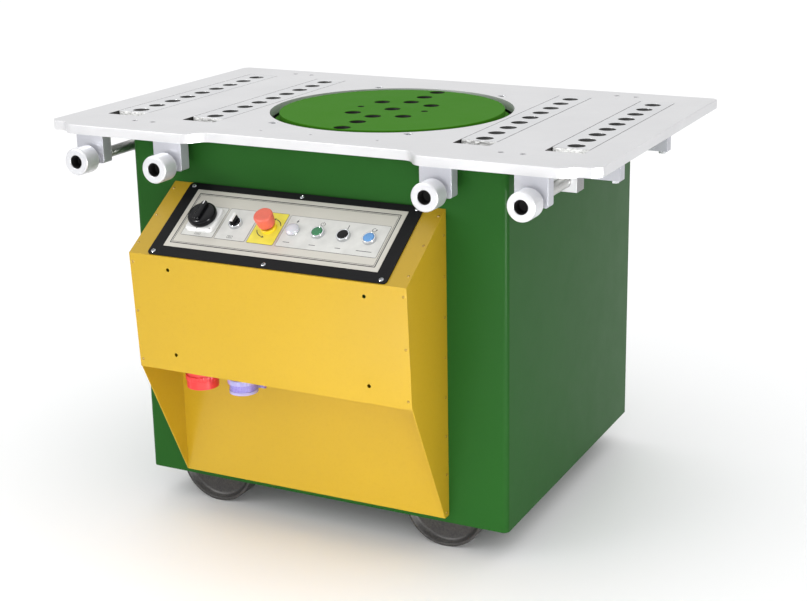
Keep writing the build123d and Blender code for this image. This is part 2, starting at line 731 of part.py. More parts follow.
def motor_rotor():
    """The rotor core on its shaft."""
    rotor = post(MOTOR_BORE_R - ROTOR_GAP, MOTOR_Z0 + 2 * MOTOR_END, REDUCER_Z0 - MOTOR_END, 0, PINION_Y)
    low = MOTOR_Z0 - FAN_GAP - FAN_H
    return rotor + post(ROTOR_SHAFT_R, low, REDUCER_Z0 + ROTOR_INSET, 0, PINION_Y)


def cooling_fan():
    """The fan on the lower end of the rotor shaft."""
    top = MOTOR_Z0 - FAN_GAP
    fan = post(ROTOR_SHAFT_R * 2, top - FAN_H, top, 0, PINION_Y)
    fan += post(FAN_R, top - 3, top, 0, PINION_Y)
    for k in range(FAN_BLADES):
        blade = block(ROTOR_SHAFT_R + 4, FAN_R - 1, -FAN_BLADE_T / 2, FAN_BLADE_T / 2, top - FAN_H, top)
        fan += Pos(0, PINION_Y, 0) * Rot(0, 0, 360 / FAN_BLADES * k) * blade
    return fan - post(ROTOR_SHAFT_R, top - FAN_H, top, 0, PINION_Y)


def fan_cowl():
    """The cowl over the fan, with an air grille below."""
    r = MOTOR_R
    low = MOTOR_Z0 - COWL_H
    cowl = post(r, low, MOTOR_Z0, 0, PINION_Y) - post(r - COWL_T, low + COWL_T, MOTOR_Z0, 0, PINION_Y)
    for k in range(-3, 4):
        span = FAN_R * cos(k * 0.35)
        cowl -= block(-span, span, PINION_Y + k * 16 - 4, PINION_Y + k * 16 + 4, low, low + COWL_T)
    return cowl


# ---- cabinet, frame, wheels
def rounded_box(x, y0, y1, z0, z1, r):
    """An upright box with rounded vertical corners."""
    return fillet(block(-x, x, y0, y1, z0, z1).edges().filter_by(Axis.Z), r)


def cabinet_shell():
    """The four-sided cabinet, open below, with its cut-outs."""
    t = CAB_WALL
    shell = rounded_box(CAB_X, CAB_Y0, CAB_Y1, CAB_Z0, -TABLE_T, CAB_R)
    shell -= rounded_box(CAB_X - t, CAB_Y0 + t, CAB_Y1 - t, CAB_Z0, -TABLE_T, CAB_R - t)
    for name in ("b", "c"):
        shell -= rod(SCREW_R + CAB_SCREW_GAP, CAB_Y0 - 1, CAB_Y0 + t + 1, SCREW_X[name], -SCREW_Z)
    w = WINDOW_W / 2
    shell -= block(CON_X - w, CON_X + w, CAB_Y0 - 1, CAB_Y0 + t + 1, -CON_LOW_Z + 2 * BLOCK_L, -CON_FRONT_Z)
    rw = REAR_W / 2 - REAR_LAP
    top = -REAR_TOP - REAR_LAP
    low = -REAR_TOP - REAR_H + REAR_LAP
    shell -= block(-rw, rw, CAB_Y1 - t - 1, CAB_Y1 + 1, low, top)
    for x, z in rear_screw_spots():
        shell -= rod(REAR_SCREW_R + BOLT_CLR, CAB_Y1 - t - 1, CAB_Y1 + 1, x, z)
    return shell


def rear_screw_spots():
    """Six screws around the rear panel."""
    x = REAR_W / 2 - REAR_LAP / 2
    spots = []
    for z in (-REAR_TOP - REAR_LAP / 2, -REAR_TOP - REAR_H / 2, -REAR_TOP - REAR_H + REAR_LAP / 2):
        spots += [(-x, z), (x, z)]
    return spots


def rear_panel():
    """The bolted service panel with its air slots."""
    x = REAR_W / 2
    panel = block(-x, x, CAB_Y1, CAB_Y1 + REAR_T, -REAR_TOP - REAR_H, -REAR_TOP)
    for sx in (-1, 1):
        for k in range(LOUVRE_N):
            z = -REAR_TOP - REAR_H * 0.42 - k * LOUVRE_PITCH
            mid = sx * REAR_W / 4
            w, h = LOUVRE_W / 2, LOUVRE_H / 2
            panel -= block(mid - w, mid + w, CAB_Y1, CAB_Y1 + REAR_T, z - h, z + h)
    for px, pz in rear_screw_spots():
        panel -= rod(REAR_SCREW_R + BOLT_CLR, CAB_Y1 - 1, CAB_Y1 + REAR_T + 1, px, pz)
    return panel


def rear_panel_screws():
    """Six pan head screws."""
    solids = []
    for x, z in rear_screw_spots():
        head = rod(REAR_SCREW_R * 2, CAB_Y1 + REAR_T, CAB_Y1 + REAR_T + 3, x, z)
        solids.append(head + rod(REAR_SCREW_R, CAB_Y1 - 12, CAB_Y1 + REAR_T, x, z))
    return group(solids)


def cross_rail_y():
    """The Y faces of the two cross rails, behind the front wheels and ahead of the rear ones."""
    front = CAB_Y0 + ROAD_SETBACK + ROAD_W + CROSS_GAP
    back = CAB_Y1 - ROAD_SETBACK - ROAD_W - CROSS_GAP
    return ((front, front + RAIL_T), (back - RAIL_T, back))


def base_frame():
    """The welded bottom frame with the axle bores."""
    x = CAB_X - CAB_WALL - POST_GAP
    y0 = CAB_Y0 + CAB_WALL + POST_GAP
    y1 = CAB_Y1 - CAB_WALL - POST_GAP
    z0 = CAB_Z0 + 1
    z1 = z0 + RAIL_H
    frame = block(-x, x, y0, y1, z0, z1) - block(-x + RAIL_T, x - RAIL_T, y0 + RAIL_T, y1 - RAIL_T, z0, z1)
    corners = frame.edges().filter_by(Axis.Z).filter_by(lambda e: abs(e.center().X) > x - 1)
    frame = fillet(corners, CAB_R - CAB_WALL)
    for a, b in cross_rail_y():
        frame += block(-x + RAIL_T, x - RAIL_T, a, b, z0, z1)
    for sx in (-1, 1):
        frame -= rod(AXLE_R, y0, y1, sx * AXLE_X, -TABLE_H + ROAD_R)
    return frame


def corner_posts():
    """Four square tubes between the bottom frame and the table."""
    x = CAB_X - CAB_WALL - POST_GAP - POST_W
    y0 = CAB_Y0 + CAB_WALL + POST_GAP
    y1 = CAB_Y1 - CAB_WALL - POST_GAP - POST_W
    z0 = CAB_Z0 + 1 + RAIL_H
    solids = []
    for px in (-x - POST_W, x):
        for py in (y0, y1):
            outer = block(px, px + POST_W, py, py + POST_W, z0, -TABLE_T)
            outer = fillet(outer.edges().filter_by(Axis.Z), CAB_R - CAB_WALL)
            t = POST_T
            inner = block(px + t, px + POST_W - t, py + t, py + POST_W - t, z0, -TABLE_T)
            inner = fillet(inner.edges().filter_by(Axis.Z), CAB_R - CAB_WALL - t)
            solids.append(outer - inner)
    return group(solids)


def axles():
    """Two long axles, each carrying a front and a rear wheel."""
    y0 = CAB_Y0 + CAB_WALL + POST_GAP
    y1 = CAB_Y1 - CAB_WALL - POST_GAP
    return group([rod(AXLE_R, y0, y1, sx * AXLE_X, -TABLE_H + ROAD_R) for sx in (-1, 1)])


def road_wheel(sx, front):
    """A cast running wheel, dished on both faces."""
    w = ROAD_W / 2
    r = ROAD_R
    inner = r - ROAD_TREAD
    web = w - ROAD_DISH
    profile = [
        (AXLE_R + RUN, -w),
        (ROAD_HUB_R, -w),
        (ROAD_HUB_R, -web),
        (inner, -web),
        (r - ROAD_RIM, -w),
        (r - 2, -w),
        (r, -w + 2),
        (r, w - 2),
        (r - 2, w),
        (r - ROAD_RIM, w),
        (inner, web),
        (ROAD_HUB_R, web),
        (ROAD_HUB_R, w),
        (AXLE_R + RUN, w),
    ]
    y = CAB_Y0 + ROAD_SETBACK + w
    if not front:
        y = CAB_Y1 - ROAD_SETBACK - w
    return Pos(sx * AXLE_X, y, -TABLE_H + r) * Rot(90, 0, 0) * turned(profile)


# ---- console
def console_profile(inset):
    """The side outline of the console, drawn in from the outer skin by an inset."""
    a = radians(SLOPE_DEG)
    b = atan2(CON_LOW_Y - CON_FRONT_Y, CON_LOW_Z - CON_FRONT_Z)
    bend = (a + pi / 2 + b) / 2
    corner = inset / sin(bend)
    turn = a - bend
    front = (CON_FRONT_Y + corner * cos(turn), -CON_FRONT_Z + corner * sin(turn))
    rise = CAB_SETBACK - front[0]
    top = (CAB_SETBACK, front[1] + rise * tan(a))
    drop = front[1] + CON_LOW_Z
    low = (front[0] + drop * tan(b), -CON_LOW_Z)
    return top, front, low


def console_cover():
    """The bent sheet that makes the slope and the front of the console."""
    top, front, low = console_profile(0)
    itop, ifront, ilow = console_profile(CON_T)
    cover = side_plate([top, front, low, ilow, ifront, itop], CON_X0, CON_X1)
    w = WINDOW_W / 2
    window = Box(WINDOW_W, WINDOW_L, 4 * CON_T)
    cover -= on_slope(0, FACE_S, 0) * window
    for sx in (-1, 1):
        for z in PLATE_HOLE_Z:
            cover -= rod(PLATE_HOLE_D / 2, CON_FRONT_Y - 1, CON_FRONT_Y + 30, CON_X + sx * PLATE_HOLE_X, -z)
    for sx in (-1, 1):
        for s in PANEL_SCREW_S:
            cover -= on_slope(sx * PANEL_SCREW_X, s, 0) * Cylinder(PANEL_SCREW_SHANK + BOLT_CLR, 4 * CON_T)
    for s in PANEL_SCREW_S:
        cover -= on_slope(0, s, 0) * Cylinder(PANEL_SCREW_SHANK + BOLT_CLR, 4 * CON_T)
    return cover


def console_body():
    """The cheeks, shelf and recessed panel in one welded sheet part."""
    top, front, low = console_profile(CON_T)
    tip = (RECESS_Y, -CON_TIP_Z)
    heel = (CAB_SETBACK, -CON_TIP_Z)
    cheek = [top, front, low, tip, heel]
    ftop, ffront, flow = console_profile(2 * CON_T)
    body = None
    for x0, x1, f0, f1 in (
        (CON_X0, CON_X0 + CON_T, CON_X0, CON_X0 + CON_FLANGE),
        (CON_X1 - CON_T, CON_X1, CON_X1 - CON_FLANGE, CON_X1),
    ):
        side = side_plate(cheek, x0, x1)
        side += side_plate([top, front, low, flow, ffront, ftop], f0, f1)
        body = side if body is None else body + side
    a = CON_X0
    b = CON_X1
    body += block(a, b, low[0], RECESS_Y + CON_T, -CON_LOW_Z, -CON_LOW_Z + CON_T)
    body += block(a, b, RECESS_Y, RECESS_Y + CON_T, -CON_TIP_Z, -CON_LOW_Z + CON_T)
    body += block(a, b, RECESS_Y, CAB_SETBACK, -CON_TIP_Z, -CON_TIP_Z + CON_T)
    for x, r in ((INLET_X, INLET_R), (AUX_X, AUX_R)):
        body -= post(r - 2 * INLET_WALL, -CON_LOW_Z - 1, -CON_LOW_Z + CON_T + 1, x, SOCKET_Y)
    return body


def console_rivets():
    """Rivet heads on the slope, the front and the cheeks."""
    solids = []
    xs = (CON_X0 + RIVET_IN, CON_X1 - RIVET_IN)
    for x in xs:
        for s in (29.0, 108.0, 187.0):
            solids.append(on_slope(x - CON_X, s, RIVET_H / 2) * Cylinder(RIVET_R, RIVET_H))
    lean = degrees(atan2(CON_LOW_Y - CON_FRONT_Y, CON_LOW_Z - CON_FRONT_Z))
    for x in xs:
        for z in (245.0, 352.0, 459.0):
            y = CON_FRONT_Y + (z - CON_FRONT_Z) * tan(radians(lean))
            head = Pos(0, 0, RIVET_H / 2) * Cylinder(RIVET_R, RIVET_H)
            solids.append(Pos(x, y, -z) * Rot(90 + lean, 0, 0) * head)
    y = CAB_SETBACK - CHEEK_RIVET_IN
    for k in range(CHEEK_RIVETS):
        z = -CON_TIP_Z + CHEEK_RIVET_LAST + k * CHEEK_RIVET_PITCH
        solids.append(bar_x(RIVET_R, CON_X1, CON_X1 + RIVET_H, y, z))
        solids.append(bar_x(RIVET_R, CON_X0 - RIVET_H, CON_X0, y, z))
    return group(solids)


def device_spots():
    """Where the operator devices stand along the panel."""
    return [SWITCH_X, SELECTOR_X, STOP_X, LAMP_X] + list(BUTTONS.values())


def panel_frame():
    """The black backing panel with rounded corners."""
    frame = Box(FRAME_W, FRAME_L, FRAME_T)
    frame = fillet(frame.edges().filter_by(Axis.Z), FRAME_R)
    frame = on_slope(0, FRAME_LOW + FRAME_L / 2, FRAME_T / 2) * frame
    frame -= on_slope(0, FACE_S, FRAME_T / 2) * Box(WINDOW_W, WINDOW_L, 2 * FRAME_T)
    for s in PANEL_SCREW_S:
        for k in (-1, 0, 1):
            hole = Cylinder(PANEL_SCREW_SHANK + BOLT_CLR, 2 * FRAME_T)
            frame -= on_slope(k * PANEL_SCREW_X, s, FRAME_T / 2) * hole
    return frame


def control_plate():
    """The thin metal face plate that carries the devices."""
    plate = on_slope(0, FACE_S, FRAME_T + FACE_T / 2) * Box(FACE_W, FACE_L, FACE_T)
    for x in device_spots():
        plate -= on_slope(x, DEVICE_S, FRAME_T) * Cylinder(NECK_R, 4 * FACE_T)
    return plate


def panel_screws():
    """Six pan head screws around the panel."""
    solids = []
    for s in PANEL_SCREW_S:
        for k in (-1, 0, 1):
            head = Cylinder(PANEL_SCREW_R, 2.4)
            head = fillet(head.edges().group_by(Axis.Z)[-1], 1.2)
            one = on_slope(k * PANEL_SCREW_X, s, FRAME_T + 1.2) * head
            one += on_slope(k * PANEL_SCREW_X, s, FRAME_T / 2 - 4) * Cylinder(PANEL_SCREW_SHANK, FRAME_T + 8)
            solids.append(one)
    return group(solids)


def neck(x, bore):
    """The threaded neck of a device behind the face plate, bored for its stem."""
    z = FACE_TOP - NECK_L / 2
    tube = on_slope(x, DEVICE_S, z) * Cylinder(NECK_R, NECK_L)
    if bore:
        tube -= on_slope(x, DEVICE_S, z) * Cylinder(bore, NECK_L)
    return tube


def ring(x, r_out, r_in, h0, h1):
    """A ring square to the panel."""
    mid = on_slope(x, DEVICE_S, FACE_TOP + (h0 + h1) / 2)
    return mid * Cylinder(r_out, h1 - h0) - mid * Cylinder(r_in, h1 - h0)


def disc_on(x, r, h0, h1):
    """A round disc square to the panel."""
    return on_slope(x, DEVICE_S, FACE_TOP + (h0 + h1) / 2) * Cylinder(r, h1 - h0)


def bezel(x, bore):
    """A chromed collar with its neck."""
    floor = BEZEL_H + CAP_PROUD - CAP_T - CAP_TRAVEL - PUSH
    body = disc_on(x, BEZEL_R, 0, BEZEL_H)
    body -= disc_on(x, CAP_R + PUSH, floor, BEZEL_H)
    body -= disc_on(x, bore, 0, BEZEL_H)
    return body + neck(x, bore)


def button_bezels():
    """The collars of the three push buttons."""
    return group([bezel(x, STEM_R + PUSH) for x in BUTTONS.values()])


def push_cap(x):
    """A push button cap with its stem."""
    top = BEZEL_H + CAP_PROUD
    return disc_on(x, CAP_R, top - CAP_T, top) + disc_on(x, STEM_R, -NECK_L + 8, top - CAP_T)


def pilot_lamp():
    """The indicator lamp in one piece."""
    lens = disc_on(LAMP_X, BEZEL_R, 0, BEZEL_H + 2)
    lens = fillet(lens.edges().filter_by(GeomType.CIRCLE).sort_by(Axis.Z)[-1], 4)
    return lens + neck(LAMP_X, 0)


def selector_body():
    """The collar of the selector."""
    return bezel(SELECTOR_X, STEM_R + RUN)


def selector_lever():
    """The turning lever of the selector."""
    low = BEZEL_H + CAP_PROUD - CAP_T
    lever = disc_on(SELECTOR_X, CAP_R, low, BEZEL_H + 2)
    lever += disc_on(SELECTOR_X, STEM_R, -NECK_L + 8, low)
    h = FACE_TOP + BEZEL_H + 2 + LEVER_H / 2
    return lever + on_slope(SELECTOR_X, DEVICE_S, h) * Box(LEVER_W, 2 * CAP_R - 2, LEVER_H)


def stop_base():
    """The collar under the emergency stop head."""
    base = disc_on(STOP_X, STOP_BASE_R, 0, STOP_BASE_H) - disc_on(STOP_X, STEM_R + PUSH, 0, STOP_BASE_H)
    return base + neck(STOP_X, STEM_R + PUSH)


def stop_button():
    """The mushroom head with its stem."""
    low = STOP_BASE_H + STOP_WAIST
    head = disc_on(STOP_X, STOP_R, low, low + STOP_HEAD_H)
    head = fillet(head.edges().filter_by(GeomType.CIRCLE).sort_by(Axis.Z)[-1], 6)
    return head + disc_on(STOP_X, STEM_R, -NECK_L + 8, low)


def main_switch_base():
    """The square base of the main switch."""
    h = FACE_TOP + SWITCH_BASE_H / 2
    square = Box(SWITCH_BASE, SWITCH_BASE, SWITCH_BASE_H)
    base = on_slope(SWITCH_X, DEVICE_S, h) * fillet(square.edges().filter_by(Axis.Z), 6)
    return base - disc_on(SWITCH_X, STEM_R + RUN, 0, SWITCH_BASE_H) + neck(SWITCH_X, STEM_R + RUN)


def main_switch_knob():
    """The round turning knob with its grip bar."""
    low = SWITCH_BASE_H + THRUST
    knob = disc_on(SWITCH_X, SWITCH_R, low, low + SWITCH_H)
    knob = chamfer(knob.edges().filter_by(GeomType.CIRCLE).sort_by(Axis.Z)[-1], 3)
    h = FACE_TOP + low + SWITCH_H + GRIP_H / 2
    knob += on_slope(SWITCH_X, DEVICE_S, h - 2) * Box(GRIP_W, 2 * SWITCH_R - 12, GRIP_H)
    return knob + disc_on(SWITCH_X, STEM_R, -NECK_L + 8, low)


def contact_blocks():
    """The contact blocks behind the panel, one below each device."""
    solids = []
    for x in device_spots():
        h = FACE_TOP - NECK_L - BLOCK_L / 2
        solids.append(on_slope(x, DEVICE_S, h) * Box(BLOCK_W, BLOCK_W, BLOCK_L))
    return group(solids)


# ---- sockets
def socket_shell(x, r, length):
    """A flanged socket body hanging below the shelf, open below."""
    w = SOCKET_FLANGE / 2
    top = -CON_LOW_Z
    body = block(x - w, x + w, SOCKET_Y - w, SOCKET_Y + w, top - SOCKET_FLANGE_T, top)
    body = fillet(body.edges().filter_by(Axis.Z), 6)
    body += post(r, top - length, top, x, SOCKET_Y)
    return body - post(r - INLET_WALL, top - length, top - length + SOCKET_DEEP, x, SOCKET_Y)


def power_inlet():
    """The mains inlet with its pins."""
    body = socket_shell(INLET_X, INLET_R, INLET_L)
    top = -CON_LOW_Z - INLET_L + SOCKET_DEEP
    for k in range(INLET_PINS):
        a = 2 * pi * k / INLET_PINS
        px = INLET_X + INLET_PIN_RING * cos(a)
        py = SOCKET_Y + INLET_PIN_RING * sin(a)
        body += post(INLET_PIN_R, top - INLET_PIN_L, top, px, py)
    return body


def aux_socket():
    """The low voltage socket with its hinge bosses and pin."""
    body = socket_shell(AUX_X, AUX_R, AUX_L)
    y, z = hinge_spot()
    for sx in (-1, 1):
        x0 = AUX_X + sx * (FLAP_W / 2 - FLAP_EAR)
        x1 = AUX_X + sx * FLAP_W / 2
        body += block(min(x0, x1), max(x0, x1), y - HINGE_BOSS_R, y + HINGE_BOSS_R, z - 2, -CON_LOW_Z)
        body += bar_x(HINGE_BOSS_R, min(x0, x1), max(x0, x1), y, z)
    return body + bar_x(HINGE_R, AUX_X - FLAP_W / 2 + 6, AUX_X + FLAP_W / 2 - 6, y, z)


def hinge_spot():
    """Y and Z of the flap's hinge line."""
    return SOCKET_Y + AUX_R + HINGE_BOSS_R, -CON_LOW_Z - AUX_L - HINGE_DROP


def socket_flap():
    """The lid of the low voltage socket with its hinge barrel."""
    y, z = hinge_spot()
    top = -CON_LOW_Z - AUX_L - PUSH
    w = FLAP_W / 2 - FLAP_EAR - PUSH
    lid = post(AUX_R + FLAP_LIP, top - FLAP_T, top, AUX_X, SOCKET_Y)
    lid += block(AUX_X - w, AUX_X + w, SOCKET_Y, y, top - FLAP_T, top)
    lid += bar_x(HINGE_BOSS_R - 1, AUX_X - w, AUX_X + w, y, z)
    return lid - bar_x(HINGE_R + RUN, AUX_X - w, AUX_X + w, y, z)


# ---- write every node
emit("table_plate", table_plate())
emit("screw_brackets", screw_brackets())
emit("guide_straps", guide_straps())
emit("strap_bolts", strap_bolts())
emit("table_bolts", table_bolts())
emit("cabinet_shell", cabinet_shell())
emit("rear_panel", rear_panel())
emit("rear_panel_screws", rear_panel_screws())
emit("base_frame", base_frame())
emit("corner_posts", corner_posts())
emit("axles", axles())
emit("gear_case", gear_case())
emit("gear_case_cover", gear_case_cover())
emit("bearings", bearings())
emit("reducer_body", reducer_body())
emit("motor_body", motor_body())
emit("fan_cowl", fan_cowl())
emit("console_body", console_body())
emit("console_cover", console_cover())
emit("console_rivets", console_rivets())
emit("panel_frame", panel_frame())
emit("control_plate", control_plate())
emit("panel_screws", panel_screws())
emit("main_switch_base", main_switch_base())
emit("selector_body", selector_body())
emit("stop_base", stop_base())
emit("pilot_lamp", pilot_lamp())
emit("button_bezels", button_bezels())
emit("contact_blocks", contact_blocks())
emit("power_inlet", power_inlet())
emit("aux_socket", aux_socket())
emit("bending_disc", bending_disc())
emit("main_shaft", main_shaft())
emit("main_gear", main_gear())
emit("pinion_shaft", pinion_shaft())
emit("motor_rotor", motor_rotor())
emit("cooling_fan", cooling_fan())
for name in BAR_X:
    emit("slide_bar_" + name, slide_bar(name))
    emit("adjuster_screw_" + name, adjuster_screw(name))
    emit("handwheel_" + name, handwheel(name))
for side, label in ((-1, "left"), (1, "right")):
    emit("wheel_front_" + label, road_wheel(side, True))
    emit("wheel_rear_" + label, road_wheel(side, False))
emit("main_switch_knob", main_switch_knob())
emit("selector_lever", selector_lever())
emit("stop_button", stop_button())
for colour, x in BUTTONS.items():
    emit("button_" + colour, push_cap(x))
emit("socket_flap", socket_flap())
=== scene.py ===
"""Looks of a rebar bender: slotted table, turning disc, four slide bars and a sloped console."""

import json
import logging
import math
from dataclasses import dataclass, field
from enum import Enum

import bmesh
import bpy
import numpy as np
from mathutils import Matrix, Vector

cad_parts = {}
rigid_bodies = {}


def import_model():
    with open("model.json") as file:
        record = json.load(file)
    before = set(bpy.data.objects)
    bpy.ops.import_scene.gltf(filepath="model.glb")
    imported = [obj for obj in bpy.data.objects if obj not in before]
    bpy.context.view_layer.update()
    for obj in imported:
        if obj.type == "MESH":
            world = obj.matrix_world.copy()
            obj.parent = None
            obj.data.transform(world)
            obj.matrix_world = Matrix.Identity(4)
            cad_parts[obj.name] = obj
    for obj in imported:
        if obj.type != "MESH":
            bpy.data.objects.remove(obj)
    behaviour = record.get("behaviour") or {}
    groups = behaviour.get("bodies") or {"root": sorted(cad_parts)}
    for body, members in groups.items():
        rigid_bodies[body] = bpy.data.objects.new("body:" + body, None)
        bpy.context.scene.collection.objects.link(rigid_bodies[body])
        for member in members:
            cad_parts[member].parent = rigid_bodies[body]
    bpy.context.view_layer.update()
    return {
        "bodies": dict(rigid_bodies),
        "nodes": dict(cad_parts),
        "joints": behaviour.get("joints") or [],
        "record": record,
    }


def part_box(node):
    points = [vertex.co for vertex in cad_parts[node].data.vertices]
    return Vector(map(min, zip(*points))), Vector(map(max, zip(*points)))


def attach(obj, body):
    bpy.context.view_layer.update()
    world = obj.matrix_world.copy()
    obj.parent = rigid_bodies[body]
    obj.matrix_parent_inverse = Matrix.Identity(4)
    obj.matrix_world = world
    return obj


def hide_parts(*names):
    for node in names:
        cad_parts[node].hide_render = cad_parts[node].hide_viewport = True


LOG = logging.getLogger("rebar_bender")
MM = 0.001
# a fold of bent sheet: an outward edge at least so long, so sharp, between faces so broad, in metres
FOLD_LENGTH = 0.06
FOLD_ANGLE = math.radians(20)
FOLD_BREADTH = 0.03
# a face counts as a wall when its normal rises less than this; chosen walls take painted shade
WALL_RISE = 0.3
# flutes are cut only this close to the largest radius, as a share of it
FLUTE_FROM = 0.93
# edges sharper than this are rounded over
BEVEL_ANGLE = math.radians(40)
# faces that meet at less than this are joined into one
FLAT_ANGLE = math.radians(0.2)
# points nearer than this are merged, in metres
MERGE = 1e-6
Colour = tuple[float, float, float]
Pair = tuple[float, float]


class Grain(Enum):
    """How a metal's fine marks are stretched, as noise scales along X, Y and Z."""

    ALONG_X = (22.0, 900.0, 900.0)
    ALONG_Y = (900.0, 22.0, 900.0)
    ALONG_Z = (900.0, 900.0, 22.0)
    EVEN = (420.0, 420.0, 420.0)


class Axis(Enum):
    """The world axis that a turned piece stands on."""

    X = 0
    Y = 1
    Z = 2


def even(scale: float) -> Colour:
    """The same scale along X, Y and Z.

    Args:
        scale: the scale.

    Returns:
        The three scales.
    """
    return (scale, scale, scale)


# ---- finishes
class Shading:
    """A node material under construction, on Object coordinates."""

    def __init__(self, name: str) -> None:
        """Start a material.

        Args:
            name: the material's name.
        """
        self.material = bpy.data.materials.new(name)
        self.material.use_nodes = True
        self.tree = self.material.node_tree
        self.shader = self.tree.nodes["Principled BSDF"]
        self.place = self.tree.nodes.new("ShaderNodeTexCoord").outputs["Object"]

    def value(self, socket: str, number: float) -> None:
        """Set one of the shader's own sockets to a constant.

        Args:
            socket: the socket's name.
            number: the value.
        """
        self.shader.inputs[socket].default_value = number

    def link(self, source: bpy.types.NodeSocket, socket: str) -> None:
        """Link a node's output to one of the shader's sockets.

        Args:
            source: the other node's output.
            socket: the socket's name.
        """
        self.tree.links.new(source, self.shader.inputs[socket])

    def stretched(self, scale: Colour, offset: Colour = (0.0, 0.0, 0.0)) -> bpy.types.NodeSocket:
        """Coordinates scaled per axis after a shift.

        Args:
            scale: factors along X, Y and Z.
            offset: where the pattern's centre is, in metres.

        Returns:
            The vector socket.
        """
        node = self.tree.nodes.new("ShaderNodeMapping")
        node.inputs["Scale"].default_value = scale
        node.inputs["Location"].default_value = [-o * s for o, s in zip(offset, scale)]
        self.tree.links.new(self.place, node.inputs["Vector"])
        return node.outputs["Vector"]

    def noise(self, scale: Colour, detail: float = 3.0, rough: float = 0.5) -> bpy.types.NodeSocket:
        """Fractal noise whose scale is given per axis.

        Args:
            scale: cycles per metre along X, Y and Z.
            detail: number of octaves.
            rough: how much the finer octaves count.

        Returns:
            The factor socket.
        """
        node = self.tree.nodes.new("ShaderNodeTexNoise")
        node.inputs["Scale"].default_value = 1.0
        node.inputs["Detail"].default_value = detail
        node.inputs["Roughness"].default_value = rough
        self.tree.links.new(self.stretched(scale), node.inputs["Vector"])
        return node.outputs["Fac"]

    def span(self, fac: bpy.types.NodeSocket, low: Pair, high: Pair) -> bpy.types.NodeSocket:
        """Carry a factor from one range to another.

        Args:
            fac: the factor.
            low: the range's start, before and after.
            high: the range's end, before and after.

        Returns:
            The clamped result.
        """
        node = self.tree.nodes.new("ShaderNodeMapRange")
        node.inputs["From Min"].default_value, node.inputs["To Min"].default_value = low
        node.inputs["From Max"].default_value, node.inputs["To Max"].default_value = high
        self.tree.links.new(fac, node.inputs["Value"])
        return node.outputs["Result"]

    def mixed(self, fac: bpy.types.NodeSocket, first: object, second: object) -> bpy.types.NodeSocket:
        """Blend two colours, each a triple or a socket.

        Args:
            fac: 0 gives the first, 1 the second.
            first: colour triple or socket.
            second: colour triple or socket.

        Returns:
            The colour socket.
        """
        node = self.tree.nodes.new("ShaderNodeMix")
        node.data_type = "RGBA"
        self.tree.links.new(fac, node.inputs["Factor"])
        for name, given in (("A", first), ("B", second)):
            socket = [i for i in node.inputs if i.name == name and i.type == "RGBA"][0]
            if isinstance(given, tuple):
                socket.default_value = (*given, 1.0)
            else:
                self.tree.links.new(given, socket)
        return [o for o in node.outputs if o.type == "RGBA"][0]

    def math(self, kind: str, first: object, second: object) -> bpy.types.NodeSocket:
        """One arithmetic step on two sockets or numbers.

        Args:
            kind: the Math node's operation.
            first: socket or number.
            second: socket or number.

        Returns:
            The result socket.
        """
        node = self.tree.nodes.new("ShaderNodeMath")
        node.operation = kind
        for k, given in enumerate((first, second)):
            if isinstance(given, (int, float)):
                node.inputs[k].default_value = given
            else:
                self.tree.links.new(given, node.inputs[k])
        return node.outputs["Value"]

    def relief(self, heights: list[tuple[bpy.types.NodeSocket, float]]) -> None:
        """Stack bumps on the shader's normal.

        Args:
            heights: height sockets with the depth of each in metres.
        """
        last = None
        for height, depth in heights:
            node = self.tree.nodes.new("ShaderNodeBump")
            node.inputs["Strength"].default_value = 1.0
            node.inputs["Distance"].default_value = depth
            self.tree.links.new(height, node.inputs["Height"])
            if last is not None:
                self.tree.links.new(last, node.inputs["Normal"])
            last = node.outputs["Normal"]
        self.tree.links.new(last, self.shader.inputs["Normal"])

    def ring(self, centre: Colour, radius: float, width: float) -> bpy.types.NodeSocket:
        """A thin circle in plan: 1 on the circle, 0 away from it.

        Args:
            centre: the circle's centre.
            radius: its radius in metres.
            width: half its width in metres.

        Returns:
            The factor socket.
        """
        node = self.tree.nodes.new("ShaderNodeVectorMath")
        node.operation = "LENGTH"
        self.tree.links.new(self.stretched((1.0, 1.0, 0.0), centre), node.inputs[0])
        off = self.math("SUBTRACT", node.outputs["Value"], radius)
        return self.span(self.math("ABSOLUTE", off, 0.0), (0.0, 1.0), (width, 0.0))


@dataclass(frozen=True)
class PaintFinish:
    """Sprayed machine paint: even colour, faint cloudiness and an orange-peel skin."""

    name: str
    colour: Colour
    shade: Colour
    roughness: float = 0.34
    specular: float = 0.35
    coat: float = 0.15
    peel: float = 0.00004
    ior: float = 1.5
    cloud_scale: float = 3.1
    fleck_scale: float = 160.0
    wear_scale: float = 14.0
    skin_scale: float = 520.0
    wave_scale: float = 60.0

    def shading(self) -> Shading:
        """Build the node material.

        Returns:
            The finished shading.
        """
        s = Shading(self.name)
        cloud = s.noise(even(self.cloud_scale), 4.0)
        fleck = s.noise(even(self.fleck_scale), 3.0, 0.6)
        base = s.mixed(s.span(cloud, (0.35, 0.0), (0.65, 1.0)), self.colour, self.shade)
        dusk = tuple(c * 0.9 for c in self.colour)
        s.link(s.mixed(s.span(fleck, (0.5, 0.0), (0.75, 0.3)), base, dusk), "Base Color")
        wear = s.noise(even(self.wear_scale), 5.0, 0.6)
        s.link(s.span(wear, (0.3, self.roughness - 0.02), (0.7, self.roughness + 0.03)), "Roughness")
        s.value("Specular IOR Level", self.specular)
        s.value("IOR", self.ior)
        s.value("Coat Weight", self.coat)
        s.value("Coat Roughness", 0.12)
        skin = s.noise(even(self.skin_scale), 2.0)
        wave = s.noise(even(self.wave_scale), 2.0)
        s.relief([(skin, self.peel), (wave, self.peel * 2)])
        return s

    def make(self) -> bpy.types.Material:
        """Build the node material and hand it over.

        Returns:
            The Blender material.
        """
        return self.shading().material


